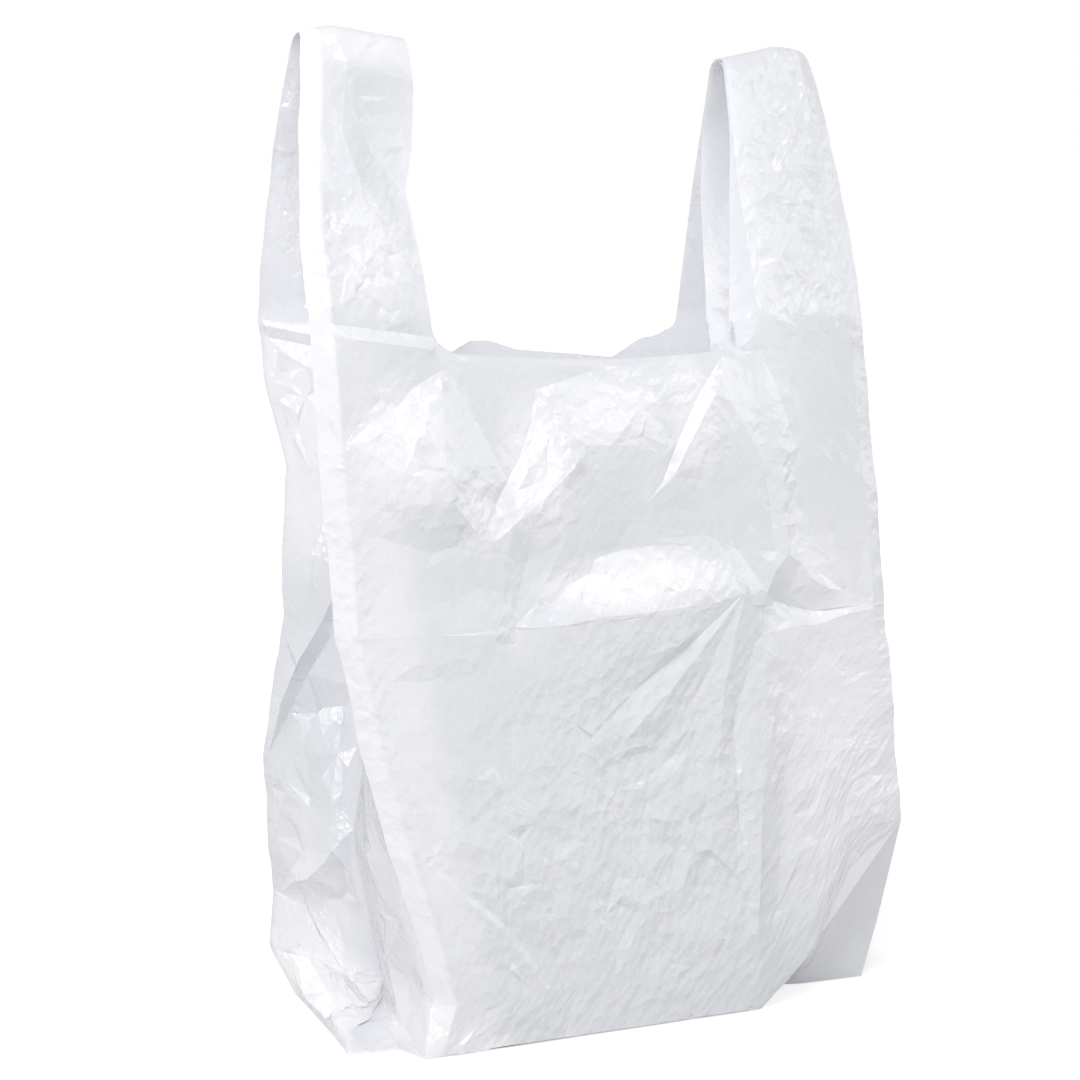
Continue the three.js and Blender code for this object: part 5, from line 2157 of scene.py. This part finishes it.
@dataclass(frozen=True)
class Studio:
    """The pale floor, the soft lights and the camera.

    Attributes:
        turn: degrees that the camera stands round to the left of the front.
        tilt: degrees that it looks down.
        distance: metres from the point that it looks at.
        target: that point, in metres.
        lens: focal length for a sensor 36 mm wide, in millimetres.
        aim: the point that the lamps face, in metres.
        reach: how far the floor reaches to each side.
        lamps: the lamps.
    """

    turn: float = 24.75
    tilt: float = 6.65
    distance: float = 1.236
    target: tuple[float, float, float] = (-0.0299, 0.0, 0.2457)
    lens: float = 80.0
    aim: tuple[float, float, float] = (0.0, 0.0, 0.25)
    reach: float = 30.0
    lamps: tuple[Lamp, ...] = (
        Lamp("left_window", (-2.0, -2.0, 2.3), (0.8, 1.2), 15.0),
        Lamp("left_side", (-2.7, -1.2, 1.6), (0.8, 1.2), 27.0),
        Lamp("tall_strip", (-1.5, -2.3, 0.75), (0.35, 1.1), 13.0),
        Lamp("top_box", (-0.4, -1.0, 2.4), (1.0, 0.7), 18.0),
        Lamp("upper_right", (1.25, -2.2, 1.8), (0.9, 0.9), 7.0),
        Lamp("right_fill", (2.5, -1.1, 0.8), (2.0, 1.3), 19.0),
        Lamp("back_left", (-1.3, 2.4, 1.5), (1.2, 1.0), 24.0),
    )

    def camera(self) -> None:
        """Adds the camera."""
        data = bpy.data.cameras.new("camera")
        data.lens = self.lens
        data.sensor_width = 36.0
        camera = bpy.data.objects.new("camera", data)
        bpy.context.scene.collection.objects.link(camera)
        turn, tilt = math.radians(self.turn), math.radians(self.tilt)
        level = math.cos(tilt)
        back = Vector((-math.sin(turn) * level, -math.cos(turn) * level, math.sin(tilt)))
        camera.location = Vector(self.target) + back * self.distance
        camera.rotation_euler = back.to_track_quat("Z", "Y").to_euler()
        bpy.context.scene.camera = camera

    def background_rays(self, tree: bpy.types.NodeTree) -> bpy.types.NodeSocket:
        """Picks the rays that show the background as white: those that the camera sends, and
        those that a surface reflects or lets through.

        Args:
            tree: the floor's or the world's node tree.

        Returns:
            1 for such a ray and 0 for any other.
        """
        rays = add_node(tree, "LightPath").outputs
        most = {"operation": "MAXIMUM"}
        pair = add_node(tree, "Math", most, i0=rays["Is Camera Ray"], i1=rays["Is Glossy Ray"])
        pair = pair.outputs["Value"]
        return add_node(tree, "Math", most, i0=pair, i1=rays["Is Transmission Ray"]).outputs["Value"]

    def floor(self) -> None:
        """Adds the floor, which shows white and keeps the bag's shadow: it glows less close
        to the bag, where the shadow has to show, and fully from 1.2 m away."""
        mesh = bpy.data.meshes.new("floor")
        reach = self.reach
        corners = [(-reach, -reach, 0), (reach, -reach, 0), (reach, reach, 0), (-reach, reach, 0)]
        mesh.from_pydata(corners, [], [(0, 1, 2, 3)])
        floor = bpy.data.objects.new("floor", mesh)
        bpy.context.scene.collection.objects.link(floor)
        material, tree = new_material("white_floor")
        seen = self.background_rays(tree)
        matt = add_node(tree, "BsdfDiffuse", Color=linear("#C8C8C8"))
        glow = add_node(tree, "Emission", Color=linear("#FFFFFF"))
        far = add_node(tree, "TexCoord")
        spread = add_node(tree, "VectorMath", {"operation": "LENGTH"}, i0=far.outputs["Object"])
        fade = add_node(
            tree,
            "MapRange",
            Value=spread.outputs["Value"],
            From_Min=0.25,
            From_Max=1.2,
            To_Min=0.62,
            To_Max=1.0,
        )
        tree.links.new(fade.outputs["Result"], glow.inputs["Strength"])
        dark = add_node(tree, "Emission", Strength=0.0)
        lift = add_node(
            tree, "MixShader", i0=seen, i1=dark.outputs["Emission"], i2=glow.outputs["Emission"]
        )
        both = add_node(tree, "AddShader", i0=matt.outputs["BSDF"], i1=lift.outputs["Shader"])
        add_node(tree, "OutputMaterial", Surface=both.outputs["Shader"])
        mesh.materials.append(material)

    def world(self) -> None:
        """Adds the world: white where it is seen, and a soft even light elsewhere."""
        world = bpy.data.worlds.new("studio")
        world.use_nodes = True
        tree = world.node_tree
        tree.nodes.clear()
        seen = self.background_rays(tree)
        even = add_node(tree, "Background", Color=linear("#FFFFFF"), Strength=0.25)
        white = add_node(tree, "Background", Color=linear("#FFFFFF"), Strength=1.0)
        both = add_node(
            tree,
            "MixShader",
            i0=seen,
            i1=even.outputs["Background"],
            i2=white.outputs["Background"],
        )
        add_node(tree, "OutputWorld", Surface=both.outputs["Shader"])
        bpy.context.scene.world = world

    def build(self) -> None:
        """Builds the studio."""
        self.camera()
        self.floor()
        self.world()
        for lamp in self.lamps:
            lamp.build(Vector(self.aim))
        bpy.context.scene.view_settings.view_transform = "Standard"


def main() -> None:
    """Builds the bag and the studio."""
    logging.basicConfig(level=logging.INFO, format="%(message)s")
    Studio().build()
    low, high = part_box("bag_film")
    bag = CarrierBag(BagForm(), Fineness()).build(low, high)
    bag.data.materials.append(BlownPolyethyleneFilm().make())
    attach(bag, "root")
    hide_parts("bag_film")
    log.info("bag_skin: %d vertices, %d faces", len(bag.data.vertices), len(bag.data.polygons))


if __name__ == "__main__":
    main()
